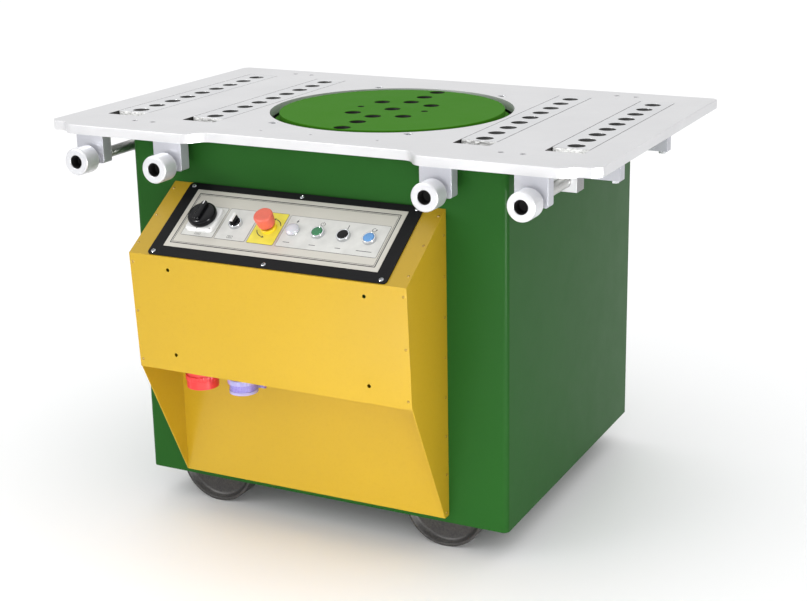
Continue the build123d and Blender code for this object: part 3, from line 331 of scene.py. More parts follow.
@dataclass(frozen=True)
class DiscFinish:
    """Paint on the disc, with a faint turned circle around its centre hole."""

    paint: PaintFinish
    centre: Colour
    circle_radius: float = 0.047
    circle_half_width: float = 0.0007
    circle_strength: float = 0.35

    def make(self) -> bpy.types.Material:
        """Build the node material.

        Returns:
            The Blender material.
        """
        s = self.paint.shading()
        ring = s.ring(self.centre, self.circle_radius, self.circle_half_width)
        below = s.shader.inputs["Base Color"].links[0].from_socket
        pale = tuple(min(1.0, c * 1.6 + 0.02) for c in self.paint.colour)
        s.link(s.mixed(s.math("MULTIPLY", ring, self.circle_strength), below, pale), "Base Color")
        return s.material


@dataclass(frozen=True)
class MetalFinish:
    """Ground, turned or plated metal with its grain, cloudy tone and small marks."""

    name: str
    colour: Colour
    shade: Colour
    metallic: float = 0.8
    roughness: float = 0.38
    grain: Grain = Grain.EVEN
    depth: float = 0.00003
    marks: float = 0.25
    cloud_scale: float = 6.0
    spot_scale: float = 85.0

    def make(self) -> bpy.types.Material:
        """Build the node material.

        Returns:
            The Blender material.
        """
        s = Shading(self.name)
        cloud = s.noise(even(self.cloud_scale), 5.0, 0.6)
        grain = s.noise(self.grain.value, 4.0, 0.65)
        spots = s.noise(even(self.spot_scale), 6.0, 0.7)
        tone = s.mixed(s.span(cloud, (0.3, 0.0), (0.7, 1.0)), self.colour, self.shade)
        low = tuple(c * 0.8 for c in self.shade)
        tone = s.mixed(s.span(grain, (0.45, 0.0), (0.8, self.marks)), tone, low)
        s.link(s.mixed(s.span(spots, (0.62, 0.0), (0.74, self.marks)), tone, low), "Base Color")
        s.value("Metallic", self.metallic)
        s.link(s.span(grain, (0.3, self.roughness - 0.07), (0.7, self.roughness + 0.08)), "Roughness")
        s.relief([(grain, self.depth), (spots, self.depth * 1.5)])
        return s.material


@dataclass(frozen=True)
class CastFinish:
    """Raw cast or torch-cut metal: pitted, lumpy and uneven in tone."""

    name: str
    colour: Colour
    shade: Colour
    metallic: float = 0.3
    roughness: float = 0.62
    pits: float = 0.0004
    lump: float = 130.0

    def make(self) -> bpy.types.Material:
        """Build the node material.

        Returns:
            The Blender material.
        """
        s = Shading(self.name)
        coarse = s.noise(even(self.lump), 6.0, 0.7)
        fine = s.noise(even(self.lump * 5), 4.0, 0.7)
        s.link(s.mixed(s.span(coarse, (0.35, 0.0), (0.65, 1.0)), self.shade, self.colour), "Base Color")
        s.value("Metallic", self.metallic)
        s.link(s.span(fine, (0.3, self.roughness - 0.1), (0.7, self.roughness + 0.12)), "Roughness")
        s.relief([(coarse, self.pits), (fine, self.pits * 0.3)])
        return s.material


@dataclass(frozen=True)
class PlasticFinish:
    """Moulded plastic with a fine spark-eroded grain."""

    name: str
    colour: Colour
    roughness: float = 0.3
    specular: float = 0.5
    coat: float = 0.0
    scatter: float = 0.0
    grain: float = 0.00002
    cloud_scale: float = 40.0
    wear_scale: float = 300.0
    skin_scale: float = 1500.0

    def make(self) -> bpy.types.Material:
        """Build the node material.

        Returns:
            The Blender material.
        """
        s = Shading(self.name)
        cloud = s.noise(even(self.cloud_scale), 4.0)
        darker = tuple(c * 0.86 for c in self.colour)
        s.link(s.mixed(s.span(cloud, (0.3, 0.0), (0.7, 1.0)), self.colour, darker), "Base Color")
        wear = s.noise(even(self.wear_scale), 4.0)
        s.link(s.span(wear, (0.3, self.roughness - 0.05), (0.7, self.roughness + 0.06)), "Roughness")
        s.value("Specular IOR Level", self.specular)
        s.value("Coat Weight", self.coat)
        s.value("Coat Roughness", 0.06)
        if self.scatter:
            s.value("Subsurface Weight", self.scatter)
            s.value("Subsurface Scale", 0.004)
        s.relief([(s.noise(even(self.skin_scale), 2.0), self.grain)])
        return s.material


GREEN = PaintFinish(
    "green_paint_satin", (0.016, 0.083, 0.013), (0.017, 0.087, 0.014),
    specular=0.5, coat=0.0, peel=0.00003, ior=1.14,
)
DISC_GREEN = PaintFinish(
    "disc_green_paint", (0.040, 0.178, 0.006), (0.042, 0.183, 0.0065),
    roughness=0.6, specular=0.3, coat=0.0, peel=0.00003, ior=1.15,
)
# the console's yellow paint made darker on the rivet heads as painted shade round the domes; their gloss is
# their own
SHADED_RIVET_YELLOW = PaintFinish(
    "rivet_paint_gloss_shaded", (0.36, 0.215, 0.010), (0.30, 0.175, 0.008),
    roughness=0.22, specular=0.6, coat=0.3, peel=0.00001,
)
YELLOW = PaintFinish(
    "yellow_paint_satin", (0.455, 0.288, 0.014), (0.47, 0.298, 0.0155),
    roughness=0.24, specular=0.42, coat=0.0, ior=1.42,
)
BLACK_PAINT = PaintFinish(
    "black_panel_paint", (0.003, 0.003, 0.004), (0.004, 0.004, 0.005),
    roughness=0.5, specular=0.3, coat=0.0, peel=0.00006, ior=1.3,
)
TABLE = MetalFinish(
    "ground_table_steel", (0.66, 0.66, 0.67), (0.62, 0.62, 0.632),
    metallic=0.55, roughness=0.42, grain=Grain.ALONG_X, depth=0.00002, marks=0.12,
)
BAR = MetalFinish(
    "ground_bar_steel", (0.68, 0.685, 0.695), (0.62, 0.625, 0.64),
    metallic=0.6, grain=Grain.ALONG_Y, depth=0.00002, marks=0.18,
)
CAST_WHITE = CastFinish(
    "cast_bar_end", (0.88, 0.88, 0.87), (0.50, 0.50, 0.49),
    metallic=0.25, roughness=0.6, pits=0.0009, lump=190.0,
)
BRACKET = MetalFinish(
    "bracket_steel", (0.50, 0.505, 0.54), (0.43, 0.435, 0.475),
    metallic=0.55, roughness=0.4, marks=0.15,
)
ZINC = MetalFinish(
    "bright_zinc", (0.72, 0.73, 0.75), (0.6, 0.61, 0.63),
    metallic=0.95, roughness=0.25, depth=0.00002, marks=0.2,
)
THREAD = MetalFinish(
    "zinc_thread", (0.55, 0.55, 0.54), (0.4, 0.4, 0.39),
    metallic=0.95, roughness=0.32, marks=0.4,
)
TURNED = MetalFinish(
    "turned_alloy_satin", (0.66, 0.662, 0.68), (0.60, 0.605, 0.625),
    metallic=0.5, roughness=0.36, grain=Grain.ALONG_Y, depth=0.00002, marks=0.1,
)
DARK_STEEL = MetalFinish(
    "oiled_dark_steel", (0.12, 0.12, 0.125), (0.08, 0.08, 0.085),
    metallic=0.9, roughness=0.35, marks=0.3,
)
GEAR_STEEL = MetalFinish(
    "cut_gear_steel", (0.4, 0.4, 0.41), (0.3, 0.3, 0.31),
    metallic=0.95, roughness=0.32, grain=Grain.ALONG_Z, marks=0.3,
)
GREY_CAST = CastFinish(
    "painted_grey_cast", (0.19, 0.205, 0.22), (0.14, 0.15, 0.165),
    metallic=0.1, roughness=0.55, pits=0.0003,
)
WHEEL_IRON = CastFinish(
    "dusty_wheel_iron", (0.062, 0.058, 0.054), (0.026, 0.025, 0.026),
    metallic=0.35, roughness=0.5, pits=0.00008, lump=260.0,
)
FACE = MetalFinish(
    "brushed_face_plate", (0.56, 0.54, 0.485), (0.51, 0.49, 0.44),
    metallic=0.4, roughness=0.4, grain=Grain.ALONG_X, depth=0.00002, marks=0.2,
)
CHROME = MetalFinish(
    "bright_chrome", (0.66, 0.67, 0.69), (0.58, 0.59, 0.61),
    metallic=1.0, roughness=0.14, depth=0.00001, marks=0.05,
)
WHITE = PlasticFinish("white_moulding", (0.74, 0.74, 0.73), roughness=0.32)
LENS = PlasticFinish("milky_lens", (0.56, 0.555, 0.60), roughness=0.2, coat=0.3, scatter=0.1)
BLACK = PlasticFinish("black_moulding", (0.004, 0.004, 0.005), roughness=0.18, specular=0.16)
RED = PlasticFinish("red_moulding", (0.70, 0.125, 0.075), roughness=0.38, specular=0.4, scatter=0.15)
INLET_RED = PlasticFinish("inlet_red_moulding", (0.70, 0.03, 0.03), roughness=0.34, specular=0.4)
AMBER = PlasticFinish("yellow_moulding", (0.86, 0.62, 0.02), roughness=0.35, specular=0.4)
VIOLET = PlasticFinish("violet_moulding", (0.24, 0.20, 0.56), roughness=0.28, coat=0.2, scatter=0.2)
PALE_VIOLET = PlasticFinish(
    "pale_violet_moulding", (0.38, 0.35, 0.66),
    roughness=0.2, coat=0.4, scatter=0.3,
)
BUTTON_GREEN = PlasticFinish("green_cap", (0.008, 0.17, 0.055), coat=0.1, scatter=0.1)
BUTTON_BLUE = PlasticFinish("blue_cap", (0.10, 0.30, 0.62), coat=0.1, scatter=0.1)
LABEL_WHITE = PlasticFinish("label_white", (0.64, 0.637, 0.61), roughness=0.42, specular=0.35)
LABEL_YELLOW = PlasticFinish("label_yellow", (0.80, 0.70, 0.07), roughness=0.42, specular=0.35)
INK = PlasticFinish("label_ink", (0.035, 0.035, 0.04), roughness=0.5, specular=0.3)
GREY_INK = PlasticFinish("label_grey_ink", (0.06, 0.06, 0.065), roughness=0.5, specular=0.3)
# dark steel for the walls of the table's slots and the disc's holes: painted shade for the unlit gaps and
# holes, not a different metal
WALL_SHADE_STEEL = MetalFinish(
    "wall_painted_shade_steel", (0.05, 0.048, 0.046), (0.03, 0.029, 0.028),
    metallic=0.6, roughness=0.45, marks=0.3,
)
# darker steel for the bars' side and hole walls: painted shade for the unlit gaps beside the bars and inside
# the holes
BORE_SHADE_STEEL = MetalFinish(
    "bar_wall_painted_shade", (0.30, 0.30, 0.30), (0.2, 0.2, 0.2),
    metallic=0.9, roughness=0.35, grain=Grain.ALONG_X, depth=0.00004, marks=0.4,
)
SCREW_STEEL = MetalFinish(
    "screw_head_steel", (0.42, 0.43, 0.45), (0.30, 0.31, 0.33),
    metallic=1.0, roughness=0.2, depth=0.00001, marks=0.2,
)
# near-black cup set in each knob's bore as painted shade for the unlit hole
KNOB_BORE_SHADE = PlasticFinish("bore_lining_dark", (0.012, 0.011, 0.011), roughness=0.45, specular=0.3)


class Paintshop:
    """Makes each finish once and hands it out."""

    def __init__(self) -> None:
        """Start with no finish made."""
        self.made: dict[str, bpy.types.Material] = {}

    def get(self, finish: object) -> bpy.types.Material:
        """The material of a finish, built on first use.

        Args:
            finish: one of the finish classes.

        Returns:
            The Blender material.
        """
        key = finish.paint.name if isinstance(finish, DiscFinish) else finish.name
        if key not in self.made:
            self.made[key] = finish.make()
        return self.made[key]


# ---- surfaces
@dataclass(frozen=True)
class Seat:
    """A right-handed frame in which a piece is drawn: origin and unit axes in metres."""

    origin: np.ndarray
    x: np.ndarray
    y: np.ndarray
    z: np.ndarray

    def place(self, points: np.ndarray) -> np.ndarray:
        """Carry points drawn in millimetres to the row frame.

        Args:
            points: array whose last axis is x, y, z in millimetres.

        Returns:
            The same array in metres: origin plus each coordinate times its axis.
        """
        p = np.asarray(points, float) * MM
        return self.origin + p[..., :1] * self.x + p[..., 1:2] * self.y + p[..., 2:3] * self.z


def seat_along(origin: Colour, axis: Axis) -> Seat:
    """A seat whose Z runs along a world axis, at a point in metres.

    Args:
        origin: the point in metres.
        axis: the world axis.

    Returns:
        The seat.
    """
    e = np.eye(3)
    k = axis.value
    return Seat(np.array(origin, float), e[(k + 1) % 3], e[(k + 2) % 3], e[k])


def seat_on(node: str) -> Seat:
    """A seat on the front end of a turned CAD node, its Z along the node's axis to the rear.

    Args:
        node: the CAD node.

    Returns:
        The seat.
    """
    lo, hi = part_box(node)
    return seat_along(((lo.x + hi.x) / 2, lo.y, (lo.z + hi.z) / 2), Axis.Y)


def rounded_profile(points: list[Pair], radii: list[float], steps: int = 5) -> np.ndarray:
    """A polyline whose corners are rounded.

    Each corner becomes a quadratic curve between two points set back along its two runs
    by its radius, with the corner itself as the control point.

    Args:
        points: the corners (radius, height) in millimetres.
        radii: set-back of each corner, 0 for a sharp one.
        steps: points per rounded corner.

    Returns:
        Array of (radius, height).
    """
    p = np.array(points, float)
    out = []
    t = np.linspace(0, 1, steps)[:, None]
    for k, r in enumerate(radii):
        if r <= 0 or k in (0, len(p) - 1):
            out.append(p[k : k + 1])
            continue
        a, b = p[k - 1] - p[k], p[k + 1] - p[k]
        la, lb = np.hypot(*a), np.hypot(*b)
        s = p[k] + a / la * min(r, la * 0.49)
        e = p[k] + b / lb * min(r, lb * 0.49)
        out.append((1 - t) ** 2 * s + 2 * t * (1 - t) * p[k] + t**2 * e)
    return np.concatenate(out)


def grid_faces(nu: int, nv: int, wrap: bool, wrap_v: bool = False) -> np.ndarray:
    """Quads of a grid of nu by nv points, joined round either axis where asked.

    Args:
        nu: points round or across.
        nv: points along.
        wrap: whether the last row joins the first.
        wrap_v: whether the last column joins the first.

    Returns:
        Array of four indices per quad: each point with its next in u, then in v.
    """
    u = np.arange(nu if wrap else nu - 1)
    v = np.arange(nv if wrap_v else nv - 1)
    uu, vv = (a.ravel() for a in np.meshgrid(u, v, indexing="ij"))
    un, vn = (uu + 1) % nu, (vv + 1) % nv
    return np.stack([uu * nv + vv, un * nv + vv, un * nv + vn, uu * nv + vn], 1)


def tube_faces(around: int, along: int) -> list[list[int]]:
    """Faces of a tube: quads round it and one flat face over each end.

    Args:
        around: points round.
        along: points along.

    Returns:
        Index lists.
    """
    ends = [[k * along + end for k in range(around)] for end in (0, along - 1)]
    return grid_faces(around, along, True).tolist() + ends


def block_between(front: np.ndarray, back: np.ndarray) -> tuple[np.ndarray, list[list[int]]]:
    """A thin block between two grids of points, joined by a strip round their rims.

    Args:
        front: points of one side, across by down by 3.
        back: points of the other side, shaped alike.

    Returns:
        The points and the index lists of the faces.
    """
    across, down = front.shape[:2]
    count = across * down
    face = grid_faces(across, down, False)
    rim = np.concatenate([
        np.arange(across) * down,
        (across - 1) * down + np.arange(1, down),
        np.arange(across - 1)[::-1] * down + down - 1,
        np.arange(1, down - 1)[::-1],
    ])
    after = np.roll(rim, -1)
    side = np.stack([rim, after, after + count, rim + count], 1)
    points = np.concatenate([front.reshape(-1, 3), back.reshape(-1, 3)])
    return points, np.concatenate([face, face + count, side]).tolist()


def mesh_object(name: str, points: np.ndarray, faces: list, sharp: float = 35.0) -> bpy.types.Object:
    """A mesh with merged doubles, outward normals and smooth shading below an angle.

    Args:
        name: the object's name.
        points: vertices in metres, one row each.
        faces: index lists.
        sharp: edges above this many degrees stay sharp.

    Returns:
        The new object, at the origin.
    """
    mesh = bpy.data.meshes.new(name)
    rows = np.asarray(points, float).reshape(-1, 3).tolist()
    mesh.from_pydata(rows, [], [list(map(int, f)) for f in faces])
    tidy(mesh, sharp)
    obj = bpy.data.objects.new(name, mesh)
    bpy.context.scene.collection.objects.link(obj)
    return obj


def tidy(mesh: bpy.types.Mesh, sharp: float, distance: float = MERGE) -> None:
    """Merge doubles, drop faces with no area, turn normals outward and set the shading.

    Args:
        mesh: the mesh to work on.
        sharp: edges above this many degrees stay sharp.
        distance: how near two vertices merge, in metres.
    """
    bm = bmesh.new()
    bm.from_mesh(mesh)
    bmesh.ops.remove_doubles(bm, verts=bm.verts, dist=distance)
    bmesh.ops.dissolve_degenerate(bm, dist=1e-7, edges=bm.edges)
    bmesh.ops.recalc_face_normals(bm, faces=bm.faces)
    bm.to_mesh(mesh)
    bm.free()
    mesh.polygons.foreach_set("use_smooth", np.ones(len(mesh.polygons), bool))
    mesh.set_sharp_from_angle(angle=math.radians(sharp))
    mesh.update()


def joined(name: str, parts: list[bpy.types.Object]) -> bpy.types.Object:
    """Join several fresh objects into one mesh object.

    Args:
        name: the joined object's name.
        parts: the objects, which are used up.

    Returns:
        The joined object.
    """
    with bpy.context.temp_override(active_object=parts[0], selected_editable_objects=parts):
        bpy.ops.object.join()
    parts[0].name = name
    parts[0].data.name = name
    return parts[0]


def lathe(name: str, seat: Seat, profile: np.ndarray, turns: int = 64, sharp: float = 35.0,
          flute: tuple[int, float] = (0, 0.0), ring: bool = False) -> bpy.types.Object:
    """A turned piece: the profile's radius carried round the seat's Z axis.

    A point at angle a is (r cos a, r sin a, h); flutes add depth times the cosine of
    count times a, scaled by how near the point is to the largest radius.

    Args:
        name: the object's name.
        seat: where it stands.
        profile: rows of (radius, height) in millimetres, from one pole to the other.
        turns: steps round the axis.
        sharp: crease angle in degrees.
        flute: number of flutes and their depth in millimetres.
        ring: whether the profile closes on itself, as a hollow ring's does.

    Returns:
        The new object.
    """
    a = np.linspace(0, 2 * np.pi, turns, endpoint=False)[:, None]
    r, h = profile[None, :, 0], profile[None, :, 1]
    near = np.clip((r / profile[:, 0].max() - FLUTE_FROM) / (1 - FLUTE_FROM), 0, 1)
    rr = r + flute[1] * near * np.cos(flute[0] * a) if flute[0] else r + 0 * a
    pts = np.stack([rr * np.cos(a), rr * np.sin(a), h + 0 * a], -1)
    faces = grid_faces(turns, profile.shape[0], True, ring).tolist()
    ends = [] if ring else [k for k in (0, profile.shape[0] - 1) if profile[k, 0] > 1e-6]
    faces += [[t * profile.shape[0] + k for t in range(turns)] for k in ends]
    return mesh_object(name, seat.place(pts), faces, sharp)


def rounded_outline(half: Pair, corner: float, steps: int = 6) -> np.ndarray:
    """Points round a rectangle with round corners.

    Each corner is a quarter circle about a centre set in by the corner radius.

    Args:
        half: half sizes in millimetres.
        corner: corner radius.
        steps: points per corner.

    Returns:
        Array of (x, y).
    """
    corner = max(min(corner, half[0] - 1e-3, half[1] - 1e-3), 1e-3)
    q = np.linspace(0, np.pi / 2, steps)
    quad = np.repeat(np.arange(4), steps)
    ang = np.tile(q, 4) + quad * np.pi / 2
    sx = np.array([1, -1, -1, 1])[quad]
    sy = np.array([1, 1, -1, -1])[quad]
    x = sx * (half[0] - corner) + corner * np.cos(ang)
    y = sy * (half[1] - corner) + corner * np.sin(ang)
    return np.stack([x, y], 1)


def slab(name: str, seat: Seat, centre: Pair, half: Pair, corner: float, rings: list[Pair],
         sharp: float = 30.0) -> bpy.types.Object:
    """A rounded rectangle carried through rings of (inset, height), closed at both ends.

    Args:
        name: the object's name.
        seat: where it stands.
        centre: its middle on the seat, in millimetres.
        half: half sizes.
        corner: corner radius.
        rings: inset and height of each ring, from the bottom up.
        sharp: crease angle in degrees.

    Returns:
        The new object.
    """
    loops = []
    for inset, height in rings:
        xy = rounded_outline((half[0] - inset, half[1] - inset), corner - inset)
        loops.append(np.column_stack([xy + np.array(centre), np.full(len(xy), height)]))
    pts = np.stack(loops, 1)
    return mesh_object(name, seat.place(pts), tube_faces(*pts.shape[:2]), sharp)


def frame_strip(name: str, seat: Seat, centre: Pair, half: Pair, corner: float, width: float,
                low: float, high: float) -> bpy.types.Object:
    """A thin printed border: the band between a rounded rectangle and its inset copy.

    Its section is a small rectangle carried round the outline: outer edge, top, inner edge, bottom.

    Args:
        name: the object's name.
        seat: where it lies.
        centre: its middle in millimetres.
        half: outer half sizes.
        corner: outer corner radius.
        width: the band's width.
        low: its underside height.
        high: its top height.

    Returns:
        The new object.
    """
    loops = []
    for inset, height in ((0, low), (0, high), (width, high), (width, low), (0, low)):
        xy = rounded_outline((half[0] - inset, half[1] - inset), max(corner - inset, 0.05))
        loops.append(np.column_stack([xy + np.array(centre), np.full(len(xy), height)]))
    pts = np.stack(loops, 1)
    return mesh_object(name, seat.place(pts), grid_faces(*pts.shape[:2], True).tolist(), 30.0)


def plate_from(name: str, seat: Seat, outline: np.ndarray, low: float, high: float) -> bpy.types.Object:
    """A thin flat plate: a closed outline lifted from one height to another.

    Args:
        name: the object's name.
        seat: where it lies.
        outline: rows of (x, y) in millimetres.
        low: underside height.
        high: top height.

    Returns:
        The new object.
    """
    n = len(outline)
    pts = np.concatenate([np.column_stack([outline, np.full(n, h)]) for h in (low, high)])
    side = [[k, (k + 1) % n, n + (k + 1) % n, n + k] for k in range(n)]
    return mesh_object(name, seat.place(pts), side + [list(range(n)), list(range(n, 2 * n))], 30.0)


def band_outline(centre: Pair, radius: float, width: float, start: float, end: float,
                 steps: int = 40) -> np.ndarray:
    """Outline of an arc band: out along the outer circle and back along the inner one.

    Args:
        centre: the arc's centre in millimetres.
        radius: its middle radius.
        width: the band's width.
        start: first angle in degrees.
        end: last angle in degrees.
        steps: points per side.

    Returns:
        Rows of (x, y).
    """
    a = np.radians(np.linspace(start, end, steps))[:, None]
    ray = np.hstack([np.cos(a), np.sin(a)])
    outer = np.array(centre) + (radius + width / 2) * ray
    inner = np.array(centre) + (radius - width / 2) * ray
    return np.concatenate([outer, inner[::-1]])


def lumps(u: np.ndarray, v: np.ndarray, seed: int, cells: int) -> np.ndarray:
    """Smooth value noise: random lattice heights blended with cosine weights.

    Args:
        u: coordinates from 0 to 1.
        v: coordinates from 0 to 1.
        seed: the random seed.
        cells: lattice cells per unit.

    Returns:
        Heights from 0 to 1, shaped like u.
    """
    lattice = np.random.default_rng(seed).random((cells + 2, cells + 2))
    x, y = u * cells, v * cells
    i, j = np.floor(x).astype(int), np.floor(y).astype(int)
    fx, fy = (0.5 - 0.5 * np.cos(np.pi * (c - np.floor(c))) for c in (x, y))
    top = lattice[i, j] * (1 - fx) + lattice[i + 1, j] * fx
    low = lattice[i, j + 1] * (1 - fx) + lattice[i + 1, j + 1] * fx
    return top * (1 - fy) + low * fy


def islands(node: bpy.types.Object) -> list[np.ndarray]:
    """The separate solids of a CAD node, as arrays of their points.

    Args:
        node: the CAD object.

    Returns:
        One array of points per solid, in order of their first point.
    """
    bm = bmesh.new()
    bm.from_mesh(node.data)
    bmesh.ops.remove_doubles(bm, verts=bm.verts, dist=MERGE)
    left = set(bm.verts)
    found = []
    for start in bm.verts:
        if start not in left:
            continue
        left.discard(start)
        heap, group = [start], []
        while heap:
            vert = heap.pop()
            group.append(vert.co[:])
            for edge in vert.link_edges:
                other = edge.other_vert(vert)
                if other in left:
                    left.discard(other)
                    heap.append(other)
        found.append(np.array(group))
    bm.free()
    return found


# ---- the bench on which pieces are dressed
class Bench:
    """Holds the frame and the paintshop, and dresses and seats each piece."""

    def __init__(self, frame: dict) -> None:
        """Take over the loaded frame.
        """
        self.nodes: dict[str, bpy.types.Object] = frame["nodes"]
        self.shop = Paintshop()
        self.body_of = {n: b for b, ns in frame["record"]["behaviour"]["bodies"].items() for n in ns}
        self.slot_of = {s["node"]: s["material_slot"] for s in frame["record"]["subparts"]}
        self.count = 0

    def keep(self, node: str, finish: object) -> None:
        """Give a CAD node that stays in view its finish.

        Args:
            node: the CAD node's name.
            finish: the finish.
        """
        obj = self.nodes[node]
        material = self.shop.get(finish)
        for slot in obj.material_slots:
            slot.material = material
        LOG.info("node %s keeps its shape, finish %s", node, material.name)

    def add(self, obj: bpy.types.Object, body: str, slot: str, finish: object,
            replaced: tuple[str, ...] = ()) -> None:
        """Seat a new piece on its body with its finish.

        Args:
            obj: the piece.
            body: the CAD body it moves with.
            slot: the record's material slot; not used.
            finish: its finish.
            replaced: CAD nodes it stands for.
        """
        obj.data.materials.clear()
        obj.data.materials.append(self.shop.get(finish))
        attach(obj, body)
        if replaced:
            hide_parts(*replaced)
        self.count += 1
        LOG.info("piece %s on %s, %d faces", obj.name, body, len(obj.data.polygons))

    def ease(self, node: str, width: float, finish: object, segments: int = 2,
             fold: float = 0.0) -> bpy.types.Object:
        """Replace a CAD node by a copy whose sharp edges are rounded over.

        Args:
            node: the CAD node.
            width: bevel width in millimetres.
            finish: its finish.
            segments: bevel steps.
            fold: radius of the outer folds in millimetres, for bent sheet.

        Returns:
            The new piece.
        """
        obj = self.copy_of(node, node + "_eased")
        if fold:
            self.fold(obj, fold)
        self.bevel(obj, width, segments)
        self.add(obj, self.body_of[node], self.slot_of[node], finish, (node,))
        return obj

    def copy_of(self, node: str, name: str) -> bpy.types.Object:
        """A merged copy of a CAD node's mesh, with flat areas joined into large faces.

        Args:
            node: the CAD node's name.
            name: the new object's name.

        Returns:
            The copy, at the origin.
        """
        mesh = self.nodes[node].data.copy()
        mesh.name = name
        bm = bmesh.new()
        bm.from_mesh(mesh)
        bmesh.ops.remove_doubles(bm, verts=bm.verts, dist=2 * MERGE)
        bmesh.ops.dissolve_limit(bm, angle_limit=FLAT_ANGLE, verts=bm.verts, edges=bm.edges)
        bm.to_mesh(mesh)
        bm.free()
        for layer in [a for a in mesh.attributes if a.name == "custom_normal"]:
            mesh.attributes.remove(layer)
        obj = bpy.data.objects.new(name, mesh)
        bpy.context.scene.collection.objects.link(obj)
        return obj

    def fold(self, obj: bpy.types.Object, radius: float) -> None:
        """Round the outer folds of bent sheet: long outward edges between two broad faces.

        Args:
            obj: the piece.
            radius: the bend's set-back in millimetres.
        """
        bm = bmesh.new()
        bm.from_mesh(obj.data)
        chosen = []
        for edge in bm.edges:
            run = edge.calc_length()
            if run < FOLD_LENGTH or len(edge.link_faces) != 2 or edge.calc_face_angle_signed() < FOLD_ANGLE:
                continue
            if min(f.calc_area() for f in edge.link_faces) / run > FOLD_BREADTH:
                chosen.append(edge)
        bmesh.ops.bevel(bm, geom=chosen, offset=radius * MM, segments=4, profile=0.5,
                        affect="EDGES", clamp_overlap=False)
        bm.to_mesh(obj.data)
        bm.free()
        LOG.info("%s has %d folds", obj.name, len(chosen))

    def second(self, obj: bpy.types.Object, finish: object, chosen: np.ndarray) -> None:
        """Give some of a piece's faces a second finish.

        Args:
            obj: the piece.
            finish: the finish.
            chosen: for each face, whether it takes the finish.
        """
        obj.data.materials.append(self.shop.get(finish))
        obj.data.polygons.foreach_set("material_index", chosen.astype(np.int32))
        obj.data.update()

    def bevel(self, obj: bpy.types.Object, width: float, segments: int) -> None:
        """Round the piece's sharp edges and bake the result into its mesh.

        Args:
            obj: the piece.
            width: bevel width in millimetres.
            segments: bevel steps.
        """
        obj.data.polygons.foreach_set("use_smooth", np.ones(len(obj.data.polygons), bool))
        mod = obj.modifiers.new("edges", "BEVEL")
        mod.width = width * MM
        mod.segments = segments
        mod.limit_method = "ANGLE"
        mod.angle_limit = BEVEL_ANGLE
        mod.harden_normals = True
        mod.use_clamp_overlap = True
        mod.miter_outer = "MITER_ARC"
        graph = bpy.context.evaluated_depsgraph_get()
        baked = bpy.data.meshes.new_from_object(obj.evaluated_get(graph))
        obj.modifiers.clear()
        obj.data = baked
        baked.name = obj.name


def faces_of(obj: bpy.types.Object) -> tuple[np.ndarray, np.ndarray]:
    """The middle and the normal of each face, as two arrays of three columns.

    Args:
        obj: the piece.

    Returns:
        Middles and normals.
    """
    count = len(obj.data.polygons)
    middle, normal = np.zeros(count * 3), np.zeros(count * 3)
    obj.data.polygons.foreach_get("center", middle)
    obj.data.polygons.foreach_get("normal", normal)
    return middle.reshape(-1, 3), normal.reshape(-1, 3)


# ---- sub-assemblies
@dataclass
class TableTop:
    """The slotted table with its brackets, guide straps and bolts. Sizes in millimetres."""

    edge: float = 1.6
    bracket_edge: float = 1.2
    weld_radius: float = 2.3
    weld_ripples: int = 8
    bracket_half: float = 34.0
    strap_edge: float = 0.8
    weld_start: float = 3.0
    # reach and ends of the painted shade on the slot walls, in millimetres
    wall_reach: float = 42.0
    wall_front: float = 50.0
    wall_rear: float = 12.0

    def build(self, bench: Bench) -> None:
        """Dress the table with painted shade on its slot walls, and add the welds.

        Args:
            bench: where the pieces are dressed and seated.
        """
        table = bench.ease("table_plate", self.edge, TABLE, 3)
        # the slot walls round each bar get the dark steel as painted shade for the unlit gaps
        middle, normal = faces_of(table)
        shaded_walls = np.abs(normal[:, 2]) < WALL_RISE
        inside = np.zeros(len(middle), bool)
        for key in "abcd":
            lo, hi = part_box("slide_bar_" + key)
            x = (lo.x + hi.x) / 2
            across = np.abs(middle[:, 0] - x) < self.wall_reach * MM
            along = (middle[:, 1] > lo.y - self.wall_front * MM) & (middle[:, 1] < hi.y + self.wall_rear * MM)
            inside |= across & along
        bench.second(table, WALL_SHADE_STEEL, shaded_walls & inside)
        bench.ease("screw_brackets", self.bracket_edge, BRACKET)
        bench.ease("guide_straps", self.strap_edge, BRACKET)
        bench.keep("strap_bolts", ZINC)
        bench.keep("table_bolts", ZINC)
        bench.add(self.welds(), "machine", "table_steel", BRACKET)

    def bead(self, start: Colour, end: Colour, steps: int = 48, sides: int = 10) -> bpy.types.Object:
        """One weld bead: a tube along a straight run whose radius swells once per ripple.

        Args:
            start: first point in metres.
            end: last point in metres.
            steps: points along.
            sides: points round.

        Returns:
            The bead.
        """
        a, b = np.array(start), np.array(end)
        run = (b - a) / np.linalg.norm(b - a)
        side = np.cross(run, (0.0, 0.0, 1.0))
        t = np.linspace(0, 1, steps)[None, :, None]
        ang = np.linspace(0, 2 * np.pi, sides, endpoint=False)[:, None, None]
        swell = 1 + 0.16 * np.abs(np.sin(np.pi * self.weld_ripples * t))
        ends = np.clip(np.minimum(t, 1 - t) * 14, 0.05, 1) ** 0.5
        r = self.weld_radius * MM * swell * ends
        pts = a + (b - a) * t + r * (np.cos(ang) * side + np.sin(ang) * np.array((0.0, 0.0, 1.0)))
        return mesh_object("bead", pts, tube_faces(sides, steps), 60.0)

    def welds(self) -> bpy.types.Object:
        """The beads along both sides and the back of each bracket, as one piece.

        Returns:
            The piece.
        """
        beads = []
        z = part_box("table_plate")[0].z
        for key in "abcd":
            lo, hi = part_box("handwheel_" + key)
            x, half = (lo.x + hi.x) / 2, self.bracket_half * MM
            y0, y1 = (v.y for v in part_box("screw_brackets"))
            y0 += self.weld_start * MM
            beads += [self.bead((x + s * half, y0, z), (x + s * half, y1, z)) for s in (-1, 1)]
            beads.append(self.bead((x - half, y1, z), (x + half, y1, z)))
        return joined("bracket_welds", beads)


